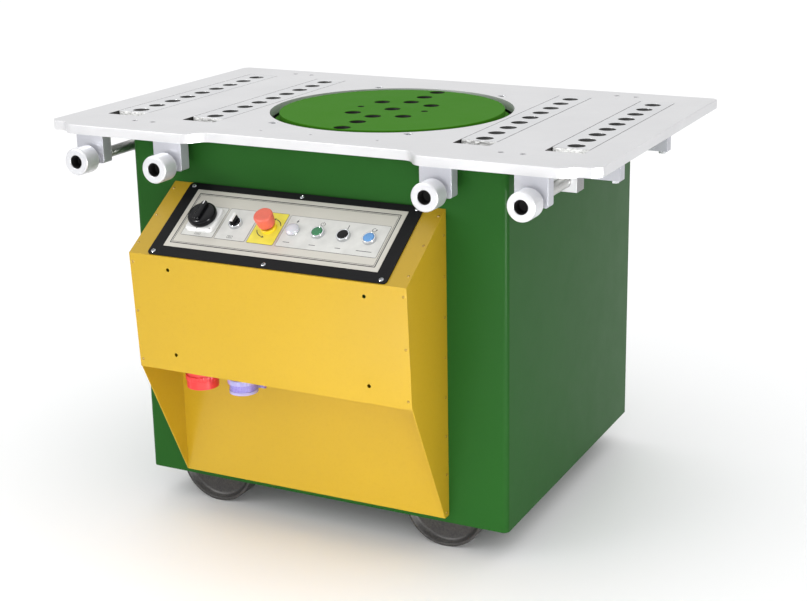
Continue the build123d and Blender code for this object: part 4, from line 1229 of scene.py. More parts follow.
@dataclass
class SlideBar:
    """One slide bar with its raw cast front end, its adjusting screw and its handwheel."""

    key: str
    set_back: float = 2.8
    bar_half: float = 38.5
    depth: float = 50.0
    thread_pitch: float = 5.0
    thread_depth: float = 1.3
    screw_radius: float = 12.0
    collar_radius: float = 18.0
    collar_start: float = 36.4
    collar_length: float = 8.0
    nose_radius: float = 10.0
    nose_length: float = 14.0
    bar_edge: float = 0.6
    wall_start: float = 4.0
    on_face: float = 0.01

    def build(self, bench: Bench) -> None:
        """Dress the bar, the screw and the handwheel, with a dark cup as painted shade in the knob's bore.

        Args:
            bench: where the pieces are dressed and seated.
        """
        self.bar(bench)
        bench.add(self.cast_end(), "bar_" + self.key, "cast_bar", CAST_WHITE)
        bench.add(self.screw(), "screw_" + self.key, "zinc_screw", THREAD, ("adjuster_screw_" + self.key,))
        bench.add(self.handwheel(), "screw_" + self.key, "turned_alloy", TURNED, ("handwheel_" + self.key,))
        bench.add(self.knob_bore_shade(), "screw_" + self.key, "turned_alloy", KNOB_BORE_SHADE)

    def bar(self, bench: Bench) -> None:
        """A copy of the bar, its front face set back to make room for the cast end, with painted shade on its
        side and hole walls.

        Args:
            bench: where the pieces are dressed and seated.
        """
        node = "slide_bar_" + self.key
        obj = bench.copy_of(node, node + "_eased")
        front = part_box(node)[0].y
        co = np.zeros(len(obj.data.vertices) * 3)
        obj.data.vertices.foreach_get("co", co)
        co = co.reshape(-1, 3)
        co[np.abs(co[:, 1] - front) < self.on_face * MM, 1] += self.set_back * MM
        obj.data.vertices.foreach_set("co", co.ravel())
        bench.bevel(obj, self.bar_edge, 2)
        bench.add(obj, "bar_" + self.key, "cast_bar", BAR, (node,))
        # the side and hole walls behind the front get the darker steel as painted shade
        middle, normal = faces_of(obj)
        shaded_walls = (np.abs(normal[:, 2]) < WALL_RISE) & (middle[:, 1] > front + self.wall_start * MM)
        bench.second(obj, BORE_SHADE_STEEL, shaded_walls)

    def cast_end(self, across: int = 96, down: int = 60) -> bpy.types.Object:
        """The raw front end: a slab whose front and top edge are pushed back by smooth random lumps.

        The front point at (u, v) lies back from the drawing's face by 0.1 mm plus up to
        2.4 mm of two octaves of value noise, growing to the full set-back at the border.

        Args:
            across: points along X.
            down: points along Z.

        Returns:
            The piece.
        """
        lo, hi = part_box("slide_bar_" + self.key)
        x = (lo.x + hi.x) / 2
        seed = 7 + ord(self.key)
        u, v = np.meshgrid(np.linspace(0, 1, across), np.linspace(0, 1, down), indexing="ij")
        rough = 0.6 * lumps(u, v, seed, 9) + 0.4 * lumps(u, v, seed + 50, 30)
        rim = np.clip(np.minimum(np.minimum(u, 1 - u) * 24, np.minimum(v, 1 - v) * 16), 0, 1)
        back = (0.1 + 2.4 * rough * rim + (1 - rim) * (1.2 + 1.4 * rough)) * MM
        top = hi.z - (0.15 + 1.3 * lumps(u[:, :1], v[:, :1] * 0, seed + 9, 14)) * MM
        zz = top + (hi.z - self.depth * MM - top) * v
        xx = x + (2 * u - 1) * (self.bar_half - 0.3) * MM
        front = np.stack([xx, lo.y + back, zz], -1)
        rear = front.copy()
        rear[..., 1] = lo.y + (self.set_back + 0.6) * MM
        return mesh_object("cast_end_" + self.key, *block_between(front, rear), 50.0)

    def screw(self, turns: int = 28, per_pitch: int = 6) -> bpy.types.Object:
        """The screw: a radius carried round Y, with a thread cut behind the collar.

        Past the collar the radius drops by the thread depth times a triangle wave of
        height over pitch less angle over a full turn, which winds the groove into a helix.

        Args:
            turns: points round.
            per_pitch: points along each pitch.

        Returns:
            The piece.
        """
        lo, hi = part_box("adjuster_screw_" + self.key)
        length = (hi.y - lo.y) / MM
        seat = seat_on("adjuster_screw_" + self.key)
        nose, c0 = self.nose_length, self.collar_start + self.nose_length
        c1 = c0 + self.collar_length
        thin, shank, wide = self.nose_radius, self.screw_radius, self.collar_radius
        plain = [(thin, 0.0), (thin, nose), (shank, nose), (shank, c0), (wide, c0), (wide, c1), (shank, c1)]
        count = int((length - c1) / self.thread_pitch * per_pitch)
        h = np.linspace(c1 + 0.5, length - 1.0, count)
        prof_h = np.concatenate([[p[1] for p in plain], h, [length]])
        prof_r = np.concatenate([[p[0] for p in plain], np.full(count, shank), [shank - 1.6]])
        cut = np.concatenate([np.zeros(len(plain)), np.ones(count), [0.0]])
        a = np.linspace(0, 2 * np.pi, turns, endpoint=False)[:, None]
        phase = (prof_h[None] / self.thread_pitch - a / (2 * np.pi)) % 1.0
        r = prof_r[None] - cut[None] * self.thread_depth * np.clip(np.abs(phase - 0.5) * 2.6 - 0.15, 0, 1)
        pts = np.stack([r * np.cos(a), r * np.sin(a), prof_h[None] + 0 * a], -1)
        faces = tube_faces(turns, len(prof_h))
        return mesh_object("threaded_screw_" + self.key, seat.place(pts), faces, 50.0)

    def handwheel(self) -> bpy.types.Object:
        """The round knob, turned about the screw: rounded rim, deep bore and a neck.

        Returns:
            The piece.
        """
        seat = seat_on("handwheel_" + self.key)
        points = [
            (0.0, 26.0), (14.5, 26.0), (14.5, 0.0), (29.0, 0.0),
            (29.0, 42.0), (20.0, 42.0), (20.0, 49.6), (0.0, 49.6),
        ]
        profile = rounded_profile(points, [0, 2.0, 1.3, 4.6, 3.0, 1.5, 0.5, 0], 7)
        return lathe("turned_handwheel_" + self.key, seat, profile, 96, 40.0)

    def knob_bore_shade(self) -> bpy.types.Object:
        """A dark cup in the knob's bore, painted shade for the deep unlit hole: a closed cup turned about the
        screw.

        Returns:
            The piece.
        """
        seat = seat_on("handwheel_" + self.key)
        points = [(0.0, 25.9), (14.4, 25.9), (14.4, 2.2), (13.4, 1.6), (12.9, 2.6), (12.9, 23.0), (0.0, 24.0)]
        profile = rounded_profile(points, [0, 0, 0, 0.4, 0.5, 2.0, 0], 4)
        return lathe("bore_lining_" + self.key, seat, profile, 64, 40.0)


@dataclass
class Drive:
    """The disc and everything that turns it, below the table."""

    disc_edge: float = 1.2
    # walls inside this radius, or lower than this below the top, get painted shade, in millimetres
    shade_hole_radius: float = 240.0
    shade_foot_depth: float = 12.0

    def build(self, bench: Bench) -> None:
        """Dress the disc with painted shade on its hole and foot walls, and the gear case, the reducer and
        the motor.

        Args:
            bench: where the pieces are dressed and seated.
        """
        lo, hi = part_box("bending_disc")
        centre = ((lo.x + hi.x) / 2, (lo.y + hi.y) / 2, hi.z)
        disc = bench.ease("bending_disc", self.disc_edge, DiscFinish(DISC_GREEN, centre))
        # the hole walls and the foot's walls under the plate get the dark steel as painted shade
        middle, normal = faces_of(disc)
        radius = np.hypot(middle[:, 0] - centre[0], middle[:, 1] - centre[1])
        shaded_walls = np.abs(normal[:, 2]) < WALL_RISE
        shaded_holes_or_foot = (radius < self.shade_hole_radius * MM) | (middle[:, 2] < hi.z - self.shade_foot_depth * MM)
        bench.second(disc, WALL_SHADE_STEEL, shaded_walls & shaded_holes_or_foot)
        kept = (
            (DARK_STEEL, ("main_shaft", "motor_rotor")),
            (GEAR_STEEL, ("main_gear", "pinion_shaft", "bearings")),
            (GREY_CAST, ("gear_case", "gear_case_cover", "reducer_body", "motor_body")),
            (BLACK_PAINT, ("fan_cowl",)),
            (BLACK, ("cooling_fan",)),
        )
        for finish, nodes in kept:
            for node in nodes:
                bench.keep(node, finish)


@dataclass
class Cabinet:
    """The sheet cabinet with its rear panel, base frame and four running wheels."""

    edge: float = 0.9
    hood_half: float = 75.0
    hood_rise: float = 7.5
    hood_count: int = 7
    hood_pitch: float = 24.0
    hood_first: float = 193.2
    hood_drop: float = 15.0

    def build(self, bench: Bench) -> None:
        """Dress the cabinet, and add louvre hoods and wheels.

        Args:
            bench: where the pieces are dressed and seated.
        """
        bench.ease("cabinet_shell", self.edge, GREEN)
        for node in ("rear_panel", "base_frame", "corner_posts"):
            bench.keep(node, GREEN)
        bench.keep("rear_panel_screws", ZINC)
        bench.keep("axles", DARK_STEEL)
        bench.add(self.hoods(), "machine", "green_paint", GREEN)
        for side in ("front_left", "front_right", "rear_left", "rear_right"):
            bench.add(self.wheel(side), "road_wheel_" + side, "wheel_iron", WHEEL_IRON, ("wheel_" + side,))

    def hoods(self) -> bpy.types.Object:
        """The louvre hoods: each rises from the panel along its top and stands open below.

        At u across and v down, the hood stands out by its rise times the square root of v,
        faded to nothing at both ends by one less the eighth power of u.

        Returns:
            The hoods as one piece.
        """
        lo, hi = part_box("rear_panel")
        u, v = np.meshgrid(np.linspace(-1, 1, 41), np.linspace(0, 1, 9), indexing="ij")
        out = self.hood_rise * np.sqrt(np.clip(v, 0, 1)) * (1 - u**8)
        parts = []
        for sx in (-1, 1):
            for k in range(self.hood_count):
                z = hi.z - (self.hood_first + k * self.hood_pitch - self.hood_drop / 2) * MM
                x = (lo.x + hi.x) / 2 + sx * (hi.x - lo.x) / 4
                across, down = x + u * self.hood_half * 1.04 * MM, z - v * self.hood_drop * MM
                pts = np.stack([across, hi.y + (out - 0.2) * MM, down], -1)
                inner = pts - np.array((0.0, 1.2 * MM, 0.0))
                parts.append(mesh_object("hood", *block_between(pts, inner), 40.0))
        return joined("rear_louvres", parts)

    def wheel(self, side: str) -> bpy.types.Object:
        """A cast running wheel: rim, dished web and hub turned about the axle.

        Args:
            side: which wheel, such as front_left.

        Returns:
            The piece.
        """
        lo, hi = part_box("wheel_" + side)
        w = (hi.y - lo.y) / MM
        seat = seat_on("wheel_" + side)
        half = [(12.6, 0.0), (28.0, 0.0), (28.0, 12.0), (77.0, 12.0), (83.4, 1.6), (84.6, 0.0), (90.0, 0.0)]
        points = half + [(r, w - h) for r, h in half[::-1]]
        radii = [0, 1.5, 5.0, 5.0, 1.5, 0.5, 1.6]
        profile = rounded_profile(points, radii + radii[::-1], 6)
        return lathe("cast_wheel_" + side, seat, profile, 96, 35.0, ring=True)


@dataclass
class Console:
    """The sloped console: sheet body, operator panel and sockets.

    Sizes in millimetres. Places on the panel are measured along the slope from its foot.
    """

    foot: Colour = (-12.3, -467.4, 623.6)
    slope_run: Pair = (174.6, 112.4)
    face_height: float = 4.0
    device_up: float = 103.99
    face_up: float = 106.99
    face_half: Pair = (245.0, 80.0)
    frame_height: float = 3.0
    label_thick: float = 0.3
    ink_thick: float = 0.08
    sink: float = 0.1
    sheet_edge: float = 0.5
    sheet_fold: float = 3.4
    frame_edge: float = 0.6
    rivet_sink: float = 0.4
    head_radius: float = 5.0
    head_steps: int = 96
    recess_half: float = 0.75
    recess_reach: float = 3.2
    recess_depth: float = 1.5
    head_rise: float = 2.4
    first_turn: float = 0.5
    next_turn: float = 0.9
    symbol_line: float = 129.5
    caption_line: float = 73.0
    position_line: float = 69.0
    switch_x: float = -184.0
    selector_x: float = -108.0
    stop_x: float = -33.0
    lamp_x: float = 22.5
    button_pitch: float = 57.5
    socket_flutes: tuple[int, float] = (32, 0.35)

    def seat(self, node: str = "", height: float = 0.0) -> Seat:
        """The slope's frame: X along the console, Y up the slope, Z square to it.

        Args:
            node: a CAD node whose middle X the origin takes, or none for the console's.
            height: how far above the slope, in millimetres.

        Returns:
            The seat, whose Y starts at the devices' line for a node.
        """
        a = math.atan2(self.slope_run[1], self.slope_run[0])
        up = np.array((0.0, math.cos(a), math.sin(a)))
        out = np.array((0.0, -math.sin(a), math.cos(a)))
        origin = np.array(self.foot) * MM
        if node:
            lo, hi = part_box(node)
            origin = origin + up * self.device_up * MM
            origin[0] = (lo.x + hi.x) / 2
        return Seat(origin + out * height * MM, np.array((1.0, 0.0, 0.0)), up, out)

    def build(self, bench: Bench) -> None:
        """Dress the sheet parts and build the panel.

        Args:
            bench: where the pieces are dressed and seated.
        """
        bench.ease("console_body", self.sheet_edge, YELLOW, 2, self.sheet_fold)
        bench.ease("console_cover", self.sheet_edge, YELLOW, 2, self.sheet_fold)
        bench.ease("panel_frame", self.frame_edge, BLACK_PAINT)
        bench.keep("control_plate", FACE)
        bench.keep("contact_blocks", BLACK)
        # the rivet heads take a darker copy of the yellow paint as painted shade
        bench.add(self.rivets(bench), "machine", "yellow_rivet", SHADED_RIVET_YELLOW, ("console_rivets",))
        bench.add(self.screws(bench), "machine", "zinc_fasteners", SCREW_STEEL, ("panel_screws",))
        self.labels(bench)
        self.main_switch(bench)
        self.selector(bench)
        self.stop(bench)
        self.lamp_and_buttons(bench)
        self.sockets(bench)

    def rivets(self, bench: Bench) -> bpy.types.Object:
        """Domed rivet heads on the CAD heads' places: each a profile turned about the head's axis.

        The axis is the direction in which the CAD head is thinnest, turned to point away
        from the console's middle.

        Args:
            bench: where the pieces are dressed and seated.

        Returns:
            The heads as one piece.
        """
        middle = np.array(self.foot) * MM + np.array((0.0, 0.2, -0.15))
        r = np.array([0.0, 1.0, 1.9, 2.6, 3.0, 3.1])
        h = np.array([1.7, 1.55, 1.15, 0.65, 0.2, -0.1])
        parts = []
        for pts in islands(bench.nodes["console_rivets"]):
            centre = (pts.min(0) + pts.max(0)) / 2
            axis = np.linalg.svd(pts - pts.mean(0), full_matrices=False)[2][2]
            axis = axis * np.sign(np.dot(axis, centre - middle) or 1.0)
            side = np.cross(axis, (0.3, 0.5, 0.8))
            side /= np.linalg.norm(side)
            seat = Seat(centre - axis * self.rivet_sink * MM, side, np.cross(axis, side), axis)
            parts.append(lathe("rivet", seat, np.stack([r, h], 1), 16, 60.0))
        return joined("rivet_domes", parts)

    def screws(self, bench: Bench) -> bpy.types.Object:
        """Pan heads with a cross recess.

        The head's height is a low dome of the radius, less the recess depth where the
        point lies within the cross's arm width of either arm and inside its length.

        Returns:
            The heads as one piece.

        Args:
            bench: where the pieces are dressed and seated.
        """
        edge = self.head_radius
        rings = np.concatenate([np.linspace(0, 4.6, 24), [4.85, edge, edge]])
        ang = np.linspace(0, 2 * np.pi, self.head_steps, endpoint=False)[:, None]
        x, y = rings * np.cos(ang), rings * np.sin(ang)
        dome = self.head_rise * np.sqrt(np.clip(1 - (rings / 5.6) ** 2, 0, 1)) + 0 * ang
        arm = np.minimum(np.abs(x), np.abs(y))
        across = np.clip((self.recess_half - arm) / 0.3, 0, 1)
        z = dome - self.recess_depth * across * np.clip((self.recess_reach - rings) / 0.5, 0, 1)
        z[:, -1] = -0.2
        base = self.seat(height=self.frame_height)
        parts = []
        for k, pts in enumerate(islands(bench.nodes["panel_screws"])):
            flat = (pts.min(0) + pts.max(0)) / 2
            rel = flat - base.origin
            at = base.origin + np.dot(rel, base.x) * base.x + np.dot(rel, base.y) * base.y
            turn = self.first_turn + self.next_turn * k
            east = math.cos(turn) * base.x + math.sin(turn) * base.y
            north = -math.sin(turn) * base.x + math.cos(turn) * base.y
            seat = Seat(at, east, north, base.z)
            faces = grid_faces(self.head_steps, len(rings), True).tolist()
            faces.append([k2 * len(rings) + len(rings) - 1 for k2 in range(self.head_steps)])
            parts.append(mesh_object("head", seat.place(np.stack([x, y, z], -1)), faces, 35.0))
        return joined("cross_head_screws", parts)

    def labels(self, bench: Bench) -> None:
        """The printed border, the four label plates and their plain symbols.

        Args:
            bench: where the pieces are dressed and seated.
        """
        seat, top = self.seat(), self.face_height
        ink = top + self.ink_thick
        w, h = self.face_half
        for k, (inset, band) in enumerate(((10.0, 2.0), (13.8, 0.9))):
            name, half = f"plate_border_{k + 1}", (w - inset, h - inset)
            strip = frame_strip(name, seat, (0.0, self.face_up), half, 1.5, band, top - self.sink, ink)
            bench.add(strip, "machine", "black_paint", INK)
        plates = {
            "switch": (-222.0, -146.0, 61.0, 144.0, LABEL_WHITE),
            "selector": (-142.0, -70.0, 60.5, 144.5, LABEL_WHITE),
            "stop": (-65.5, -4.0, 60.0, 146.0, LABEL_YELLOW),
            "lights": (1.0, 227.0, 60.0, 144.0, LABEL_WHITE),
        }
        for name, (x0, x1, y0, y1, finish) in plates.items():
            centre, half = ((x0 + x1) / 2, (y0 + y1) / 2), ((x1 - x0) / 2, (y1 - y0) / 2)
            high = top + self.label_thick
            rings = [(0.0, top - self.sink), (0.0, high - 0.05), (0.05, high)]
            slot = "yellow_plastic" if name == "stop" else "white_plastic"
            bench.add(slab("label_" + name, seat, centre, half, 3.0, rings), "machine", slot, finish)
            wider = (half[0] + self.sink, half[1] + self.sink)
            edge = frame_strip("label_edge_" + name, seat, centre, wider, 3.0, 0.7, top, high + 0.04)
            bench.add(edge, "machine", "black_paint", GREY_INK)
        self.symbols(bench, top + self.label_thick)

    def symbols(self, bench: Bench, high: float) -> None:
        """Plain symbols above the lamp and buttons, and short rules where captions would be.

        Args:
            bench: where the pieces are dressed and seated.
            high: the labels' upper face, in millimetres above the slope.
        """
        lamp, green, black, blue = (self.lamp_x + k * self.button_pitch for k in range(4))
        up, low, top = self.symbol_line, high - self.sink / 2, high + self.ink_thick
        seat = self.seat()

        def flat(outline: np.ndarray) -> bpy.types.Object:
            """One symbol, raised from its outline.

            Args:
                outline: rows of (x, y) in millimetres.

            Returns:
                The raised symbol.
            """
            return plate_from("s", seat, outline, low, top)

        bolt = np.array([(1.6, 7), (-3.4, -0.8), (-0.4, -0.8), (-1.8, -7), (3.4, 1.2), (0.5, 1.2)])
        bar = np.array([(-0.55, -3.6), (0.55, -3.6), (0.55, 3.6), (-0.55, 3.6)])
        head = np.array([(-2.4, 0.0), (2.4, 0.0), (0.0, 3.6)])
        parts = [
            flat(bolt * 0.85 + (lamp, up)),
            flat(band_outline((green, up), 4.6, 1.1, 125.0, 415.0)),
            flat(bar * (1.0, 0.8) + (green, up + 3.4)),
            flat(bar * (1.3, 1.5) + (black, up)),
            flat(band_outline((blue, up), 4.4, 1.1, 70.0, 350.0)),
            flat(head + (blue + 4.4, up - 0.4)),
        ]
        for x, half in ((lamp - 1, 7.5), (green, 7.0), (black, 6.0), (blue, 17.0)):
            rule = np.array([(-half, -0.7), (half, -0.7), (half, 0.7), (-half, 0.7)])
            parts.append(flat(rule + (x, self.caption_line)))
        for x in (self.switch_x, self.selector_x):
            parts.append(frame_strip("s", seat, (x, self.position_line), (6.5, 3.6), 0.8, 0.6, low, top))
            parts += [flat(bar * (0.8, 0.6) + (x + dx, self.position_line)) for dx in (-2.6, 0.0, 2.6)]
        bench.add(joined("panel_symbols", parts), "machine", "black_paint", GREY_INK)
        middle, radius = (self.stop_x, self.device_up), 25.0
        arrows = []
        for turn in (0.0, 180.0):
            arrows.append(flat(band_outline(middle, radius, 1.8, 20 + turn, 75 + turn)))
            a = math.radians(78 + turn)
            out = np.array((math.cos(a), math.sin(a)))
            along = np.array((-math.sin(a), math.cos(a)))
            spot = np.array(middle) + radius * out
            arrows.append(flat(np.stack([spot - 3.0 * out, spot + 3.0 * out, spot + 5.5 * along])))
        bench.add(joined("twist_arrows", arrows), "machine", "black_paint", INK)

    def main_switch(self, bench: Bench) -> None:
        """The rotary main switch: square white base, round black knob and its grip bar.

        Args:
            bench: where the pieces are dressed and seated.
        """
        seat = self.seat("main_switch_base", self.face_height)
        rings = [(3.0, 0.0), (0.0, 0.4), (0.0, 6.5), (0.4, 7.6), (1.6, 8.6), (4.0, 9.4), (9.0, 10.0)]
        base = slab("switch_base_moulded", seat, (0.0, 0.0), (32.0, 32.0), 8.0, rings, 50.0)
        bench.add(base, "machine", "white_plastic", WHITE, ("main_switch_base",))
        points = [
            (0.0, -22.0), (8.5, -22.0), (8.5, 10.6), (28.6, 10.6),
            (30.5, 14.5), (30.5, 23.0), (26.0, 27.4), (0.0, 27.6),
        ]
        knob = lathe("switch_disc", seat, rounded_profile(points, [0, 0, 0, 0.8, 3, 5, 5, 0], 6), 96, 40.0)
        rings = [(0.0, 25.5), (0.0, 31.6), (0.6, 33.2), (1.8, 34.3), (3.6, 34.8)]
        grip = slab("switch_grip", seat, (0.0, 0.0), (7.2, 26.0), 7.0, rings, 50.0)
        obj = joined("switch_knob_moulded", [knob, grip])
        bench.add(obj, "main_switch", "black_plastic", BLACK, ("main_switch_knob",))
        mark = slab("switch_pointer", seat, (0.0, 19.5), (1.1, 4.2), 1.0, [(0.0, 34.6), (0.0, 34.98)])
        bench.add(mark, "main_switch", "white_plastic", WHITE)
        places = (((26.5, -26.5), (2.6, 0.6)), ((-2.0, -28.4), (1.2, 1.6)))
        spots = [slab("s", seat, centre, half, 1.5, [(0.0, 7.0), (0.0, 9.55)]) for centre, half in places]
        bench.add(joined("switch_position_marks", spots), "machine", "black_paint", INK)

    def bezel_profile(self) -> np.ndarray:
        """A chrome collar's closed section, from its neck behind the panel to its lip.

        Returns:
            Rows of (radius, height).
        """
        points = [
            (8.9, -30.0), (10.9, -30.0), (10.9, 0.0), (14.5, 0.0),
            (14.5, 8.0), (11.6, 8.0), (11.4, 1.4), (8.9, 1.4),
        ]
        return rounded_profile(points, [0, 0, 0, 0, 2.4, 0.7, 0, 0], 6)

    def selector(self, bench: Bench) -> None:
        """The selector: chrome collar, black cap and a short lever with a white line.

        Args:
            bench: where the pieces are dressed and seated.
        """
        seat = self.seat("selector_body", self.face_height)
        collar = lathe("selector_collar", seat, self.bezel_profile(), 64, 35.0, ring=True)
        bench.add(collar, "machine", "chrome_ring", CHROME, ("selector_body",))
        points = [(0.0, -22.0), (8.5, -22.0), (8.5, 5.0), (11.0, 5.0), (11.0, 10.0), (0.0, 10.4)]
        cap = lathe("cap", seat, rounded_profile(points, [0, 0, 0, 0, 1.6, 0], 5), 48, 40.0)
        rings = [(0.0, 9.0), (0.3, 17.5), (1.0, 19.6), (2.0, 20.6)]
        lever = slab("lever", seat, (0.0, 0.0), (4.6, 12.4), 4.2, rings, 50.0)
        obj = joined("selector_lever_moulded", [cap, lever])
        bench.add(obj, "selector", "black_plastic", BLACK, ("selector_lever",))
        rings = [(0.0, 17.6), (0.0, 21.6), (0.7, 22.9), (1.8, 23.6)]
        line = slab("selector_line", seat, (0.0, 0.6), (3.7, 11.6), 3.4, rings, 50.0)
        bench.add(line, "selector", "white_plastic", WHITE)

    def stop(self, bench: Bench) -> None:
        """The emergency stop: yellow collar and a tall red head with a soft crown.

        Args:
            bench: where the pieces are dressed and seated.
        """
        seat = self.seat("stop_base", self.face_height)
        points = [
            (8.9, -30.0), (11.0, -30.0), (11.0, 0.0), (17.0, 0.0),
            (17.0, 7.0), (11.6, 7.0), (11.4, 3.0), (8.9, 3.0),
        ]
        section = rounded_profile(points, [0, 0, 0, 0, 2.0, 0.6, 0, 0], 6)
        base = lathe("stop_collar", seat, section, 64, 35.0, ring=True)
        bench.add(base, "machine", "yellow_plastic", AMBER, ("stop_base",))
        points = [
            (0.0, -22.0), (8.5, -22.0), (8.5, 13.0), (17.6, 13.0), (18.4, 18.0),
            (19.6, 31.0), (20.0, 40.0), (9.0, 40.0), (0.0, 39.5),
        ]
        section = rounded_profile(points, [0, 0, 0.5, 1.6, 3.0, 6.0, 6.5, 5.0, 0], 8)
        head = lathe("stop_head_moulded", seat, section, 96, 50.0)
        bench.add(head, "stop_head", "red_plastic", RED, ("stop_button",))

    def lamp_and_buttons(self, bench: Bench) -> None:
        """The white lamp and the three push buttons in their chrome collars.

        Args:
            bench: where the pieces are dressed and seated.
        """
        collars = []
        for colour in ("green", "black", "blue"):
            seat = self.seat("button_" + colour, self.face_height)
            collars.append(lathe("b", seat, self.bezel_profile(), 64, 35.0, ring=True))
        bench.add(joined("button_collars", collars), "machine", "chrome_ring", CHROME, ("button_bezels",))
        points = [(0.0, -22.0), (8.5, -22.0), (8.5, 5.0), (10.9, 5.0), (10.9, 9.0), (0.0, 9.5)]
        profile = rounded_profile(points, [0, 0, 0, 0, 1.4, 0], 6)
        for colour, finish in (("green", BUTTON_GREEN), ("black", BLACK), ("blue", BUTTON_BLUE)):
            node = "button_" + colour
            cap = lathe("cap_" + colour, self.seat(node, self.face_height), profile, 64, 40.0)
            bench.add(cap, colour + "_cap", colour + "_plastic", finish, (node,))
        seat = self.seat("pilot_lamp", self.face_height)
        points = [(0.0, -30.0), (11.0, -30.0), (11.0, 0.0), (14.5, 0.0), (14.5, 3.0), (13.4, 4.2), (0.0, 4.2)]
        collar = lathe("lamp_collar", seat, rounded_profile(points, [0, 0, 0, 0, 0.8, 0.5, 0], 5), 64, 35.0)
        bench.add(collar, "machine", "chrome_ring", CHROME, ("pilot_lamp",))
        points = [(0.0, 3.2), (14.2, 3.2), (14.2, 8.2), (8.0, 10.6), (0.0, 11.2)]
        lens = lathe("lamp_lens", seat, rounded_profile(points, [0, 0, 4.0, 5.0, 0], 7), 64, 50.0)
        bench.add(lens, "machine", "white_plastic", LENS)

    def sockets(self, bench: Bench) -> None:
        """The mains inlet and the low voltage socket below the front, with their ribbed rings.

        Args:
            bench: where the pieces are dressed and seated.
        """
        bench.keep("power_inlet", INLET_RED)
        bench.keep("aux_socket", VIOLET)
        bench.keep("socket_flap", PALE_VIOLET)
        for node, radius, behind, drop, finish, slot in (
            ("power_inlet", 33.5, 38.0, 33.0, INLET_RED, "red_plastic"),
            ("aux_socket", 29.0, 35.0, 27.0, PALE_VIOLET, "violet_plastic"),
        ):
            lo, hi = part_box(node)
            middle = ((lo.x + hi.x) / 2, lo.y + behind * MM, hi.z - drop * MM)
            seat = seat_along(middle, Axis.Z)
            points = [(radius - 0.5, 0.0), (radius + 1.9, 0.0), (radius + 1.9, 11.0), (radius - 0.5, 11.0)]
            section = rounded_profile(points, [0, 1.0, 1.0, 0], 4)
            ring = lathe(node + "_ring", seat, section, 192, 40.0, self.socket_flutes, True)
            bench.add(ring, "machine", slot, finish)


# ---- the studio
class Reach(Enum):
    """What a lamp acts on: matt light and highlights, as (diffuse, glossy)."""

    BOTH = (True, True)
    MATT = (True, False)
    GLOSS = (False, True)


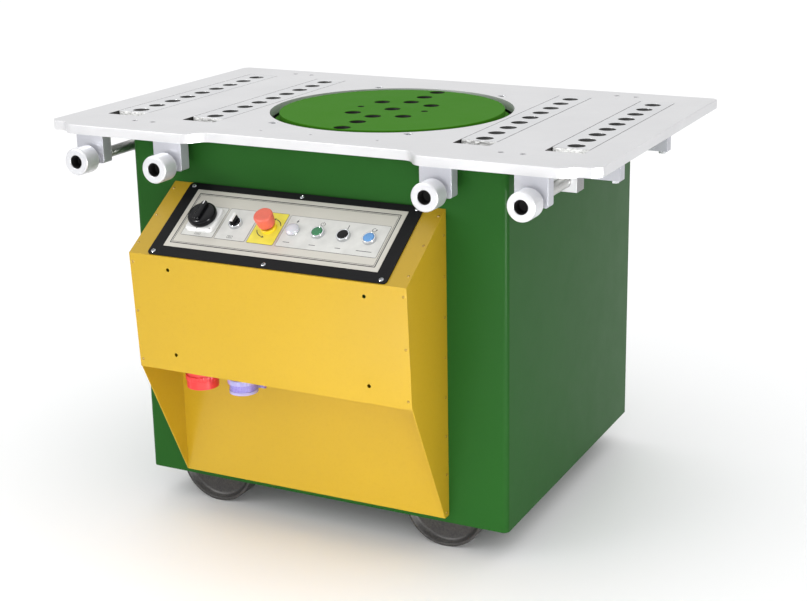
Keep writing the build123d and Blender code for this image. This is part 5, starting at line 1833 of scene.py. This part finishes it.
@dataclass
class Studio:
    """Camera, pale floor and soft lamps."""

    place: Colour = (1.55366, -2.91419, 1.465)
    yaw: float = 0.441
    pitch: float = 0.27397
    roll: float = -0.01015
    lens: float = 68.6
    shift: Pair = (-0.06, -0.06)
    floor_half: float = 60.0
    horizon: float = 0.66
    zenith: float = 1.44
    lamps: list = field(default_factory=lambda: [
        ("front_left", (-2.8, -3.6, 2.4), (0.0, -0.2, 0.5), (2.0, 2.0), 26.0, Reach.BOTH),
        ("low_front", (2.2, -4.2, 0.9), (0.0, -0.4, 0.4), (2.0, 1.2), 9.0, Reach.MATT),
        ("floor_bounce", (0.5, -1.45, 0.1), (0.3, -0.35, 0.28), (1.8, 0.18), 12.0, Reach.MATT),
        ("fold_glint", (-1.75, -2.7, 2.6), (0.0, -0.45, 0.6), (0.5, 0.5), 100.0, Reach.GLOSS),
        ("corner_glint", (2.4, -1.5, 0.35), (0.43, -0.29, 0.4), (0.35, 0.7), 90.0, Reach.GLOSS),
    ])

    def build(self) -> None:
        """Set up the whole studio."""
        self.camera()
        self.floor()
        for name, place, target, size, power, reach in self.lamps:
            self.lamp(name, place, target, size, power, reach)
        self.room()
        bpy.context.scene.view_settings.view_transform = "Standard"

    def room(self) -> None:
        """The surrounding light: a white room, dimmer at the horizon than overhead."""
        world = bpy.data.worlds.new("pale_room")
        world.use_nodes = True
        tree = world.node_tree
        back = tree.nodes["Background"]
        split = tree.nodes.new("ShaderNodeSeparateXYZ")
        tree.links.new(tree.nodes.new("ShaderNodeTexCoord").outputs["Generated"], split.inputs[0])
        rise = tree.nodes.new("ShaderNodeMapRange")
        rise.inputs["To Min"].default_value = self.horizon
        rise.inputs["To Max"].default_value = self.zenith
        tree.links.new(split.outputs["Z"], rise.inputs["Value"])
        tree.links.new(rise.outputs["Result"], back.inputs["Strength"])
        back.inputs["Color"].default_value = (1.0, 1.0, 1.0, 1.0)
        bpy.context.scene.world = world

    def camera(self) -> None:
        """The camera: turned by yaw, tipped down by pitch and rolled about its own axis."""
        cy, sy = math.cos(self.yaw), math.sin(self.yaw)
        cp, sp = math.cos(self.pitch), math.sin(self.pitch)
        right, level, up = Vector((cy, sy, 0)), Vector((-sy, cy, 0)), Vector((0, 0, 1))
        ahead, above = level * cp - up * sp, up * cp + level * sp
        cr, sr = math.cos(self.roll), math.sin(self.roll)
        x, y = right * cr + above * sr, above * cr - right * sr
        data = bpy.data.cameras.new("camera")
        data.lens = self.lens
        data.sensor_width = 36.0
        data.shift_x, data.shift_y = self.shift
        data.clip_start, data.clip_end = 0.05, 200.0
        cam = bpy.data.objects.new("camera", data)
        rows = [[x[i], y[i], -ahead[i], self.place[i]] for i in range(3)]
        cam.matrix_world = Matrix(rows + [[0, 0, 0, 1]])
        bpy.context.scene.collection.objects.link(cam)
        bpy.context.scene.camera = cam

    def floor(self) -> None:
        """A wide pale floor."""
        h = self.floor_half
        pts = np.array([(-h, -h, 0), (h, -h, 0), (h, h, 0), (-h, h, 0)])
        obj = mesh_object("floor", pts, [[0, 1, 2, 3]])
        s = Shading("pale_floor")
        cloud = s.noise(even(0.8), 2.0)
        s.link(s.mixed(cloud, (0.93, 0.93, 0.935), (0.9, 0.9, 0.905)), "Base Color")
        s.value("Roughness", 0.5)
        s.value("Specular IOR Level", 0.2)
        obj.data.materials.append(s.material)

    def lamp(self, name: str, place: Colour, target: Colour, size: Pair, power: float, reach: Reach) -> None:
        """One rectangular area lamp aimed at a point.

        Args:
            name: the lamp's name.
            place: where it hangs, in metres.
            target: the point that it faces.
            size: its width and height in metres.
            power: its power in watts.
            reach: whether it gives matt light, highlights or both.
        """
        data = bpy.data.lights.new(name, "AREA")
        data.shape = "RECTANGLE"
        data.size, data.size_y = size
        data.energy = power
        lamp = bpy.data.objects.new(name, data)
        lamp.location = place
        lamp.visible_camera = False
        lamp.visible_diffuse, lamp.visible_glossy = reach.value
        lamp.rotation_euler = (Vector(target) - Vector(place)).to_track_quat("-Z", "Y").to_euler()
        bpy.context.scene.collection.objects.link(lamp)


def main() -> None:
    """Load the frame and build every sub-assembly."""
    logging.basicConfig(level=logging.INFO, format="%(name)s %(message)s")
    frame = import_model()
    bench = Bench(frame)
    parts = [TableTop(), *(SlideBar(k) for k in "abcd"), Drive(), Cabinet(), Console()]
    for part in parts:
        part.build(bench)
    Studio().build()
    LOG.info("%d pieces made", bench.count)


if __name__ == "__main__":
    main()
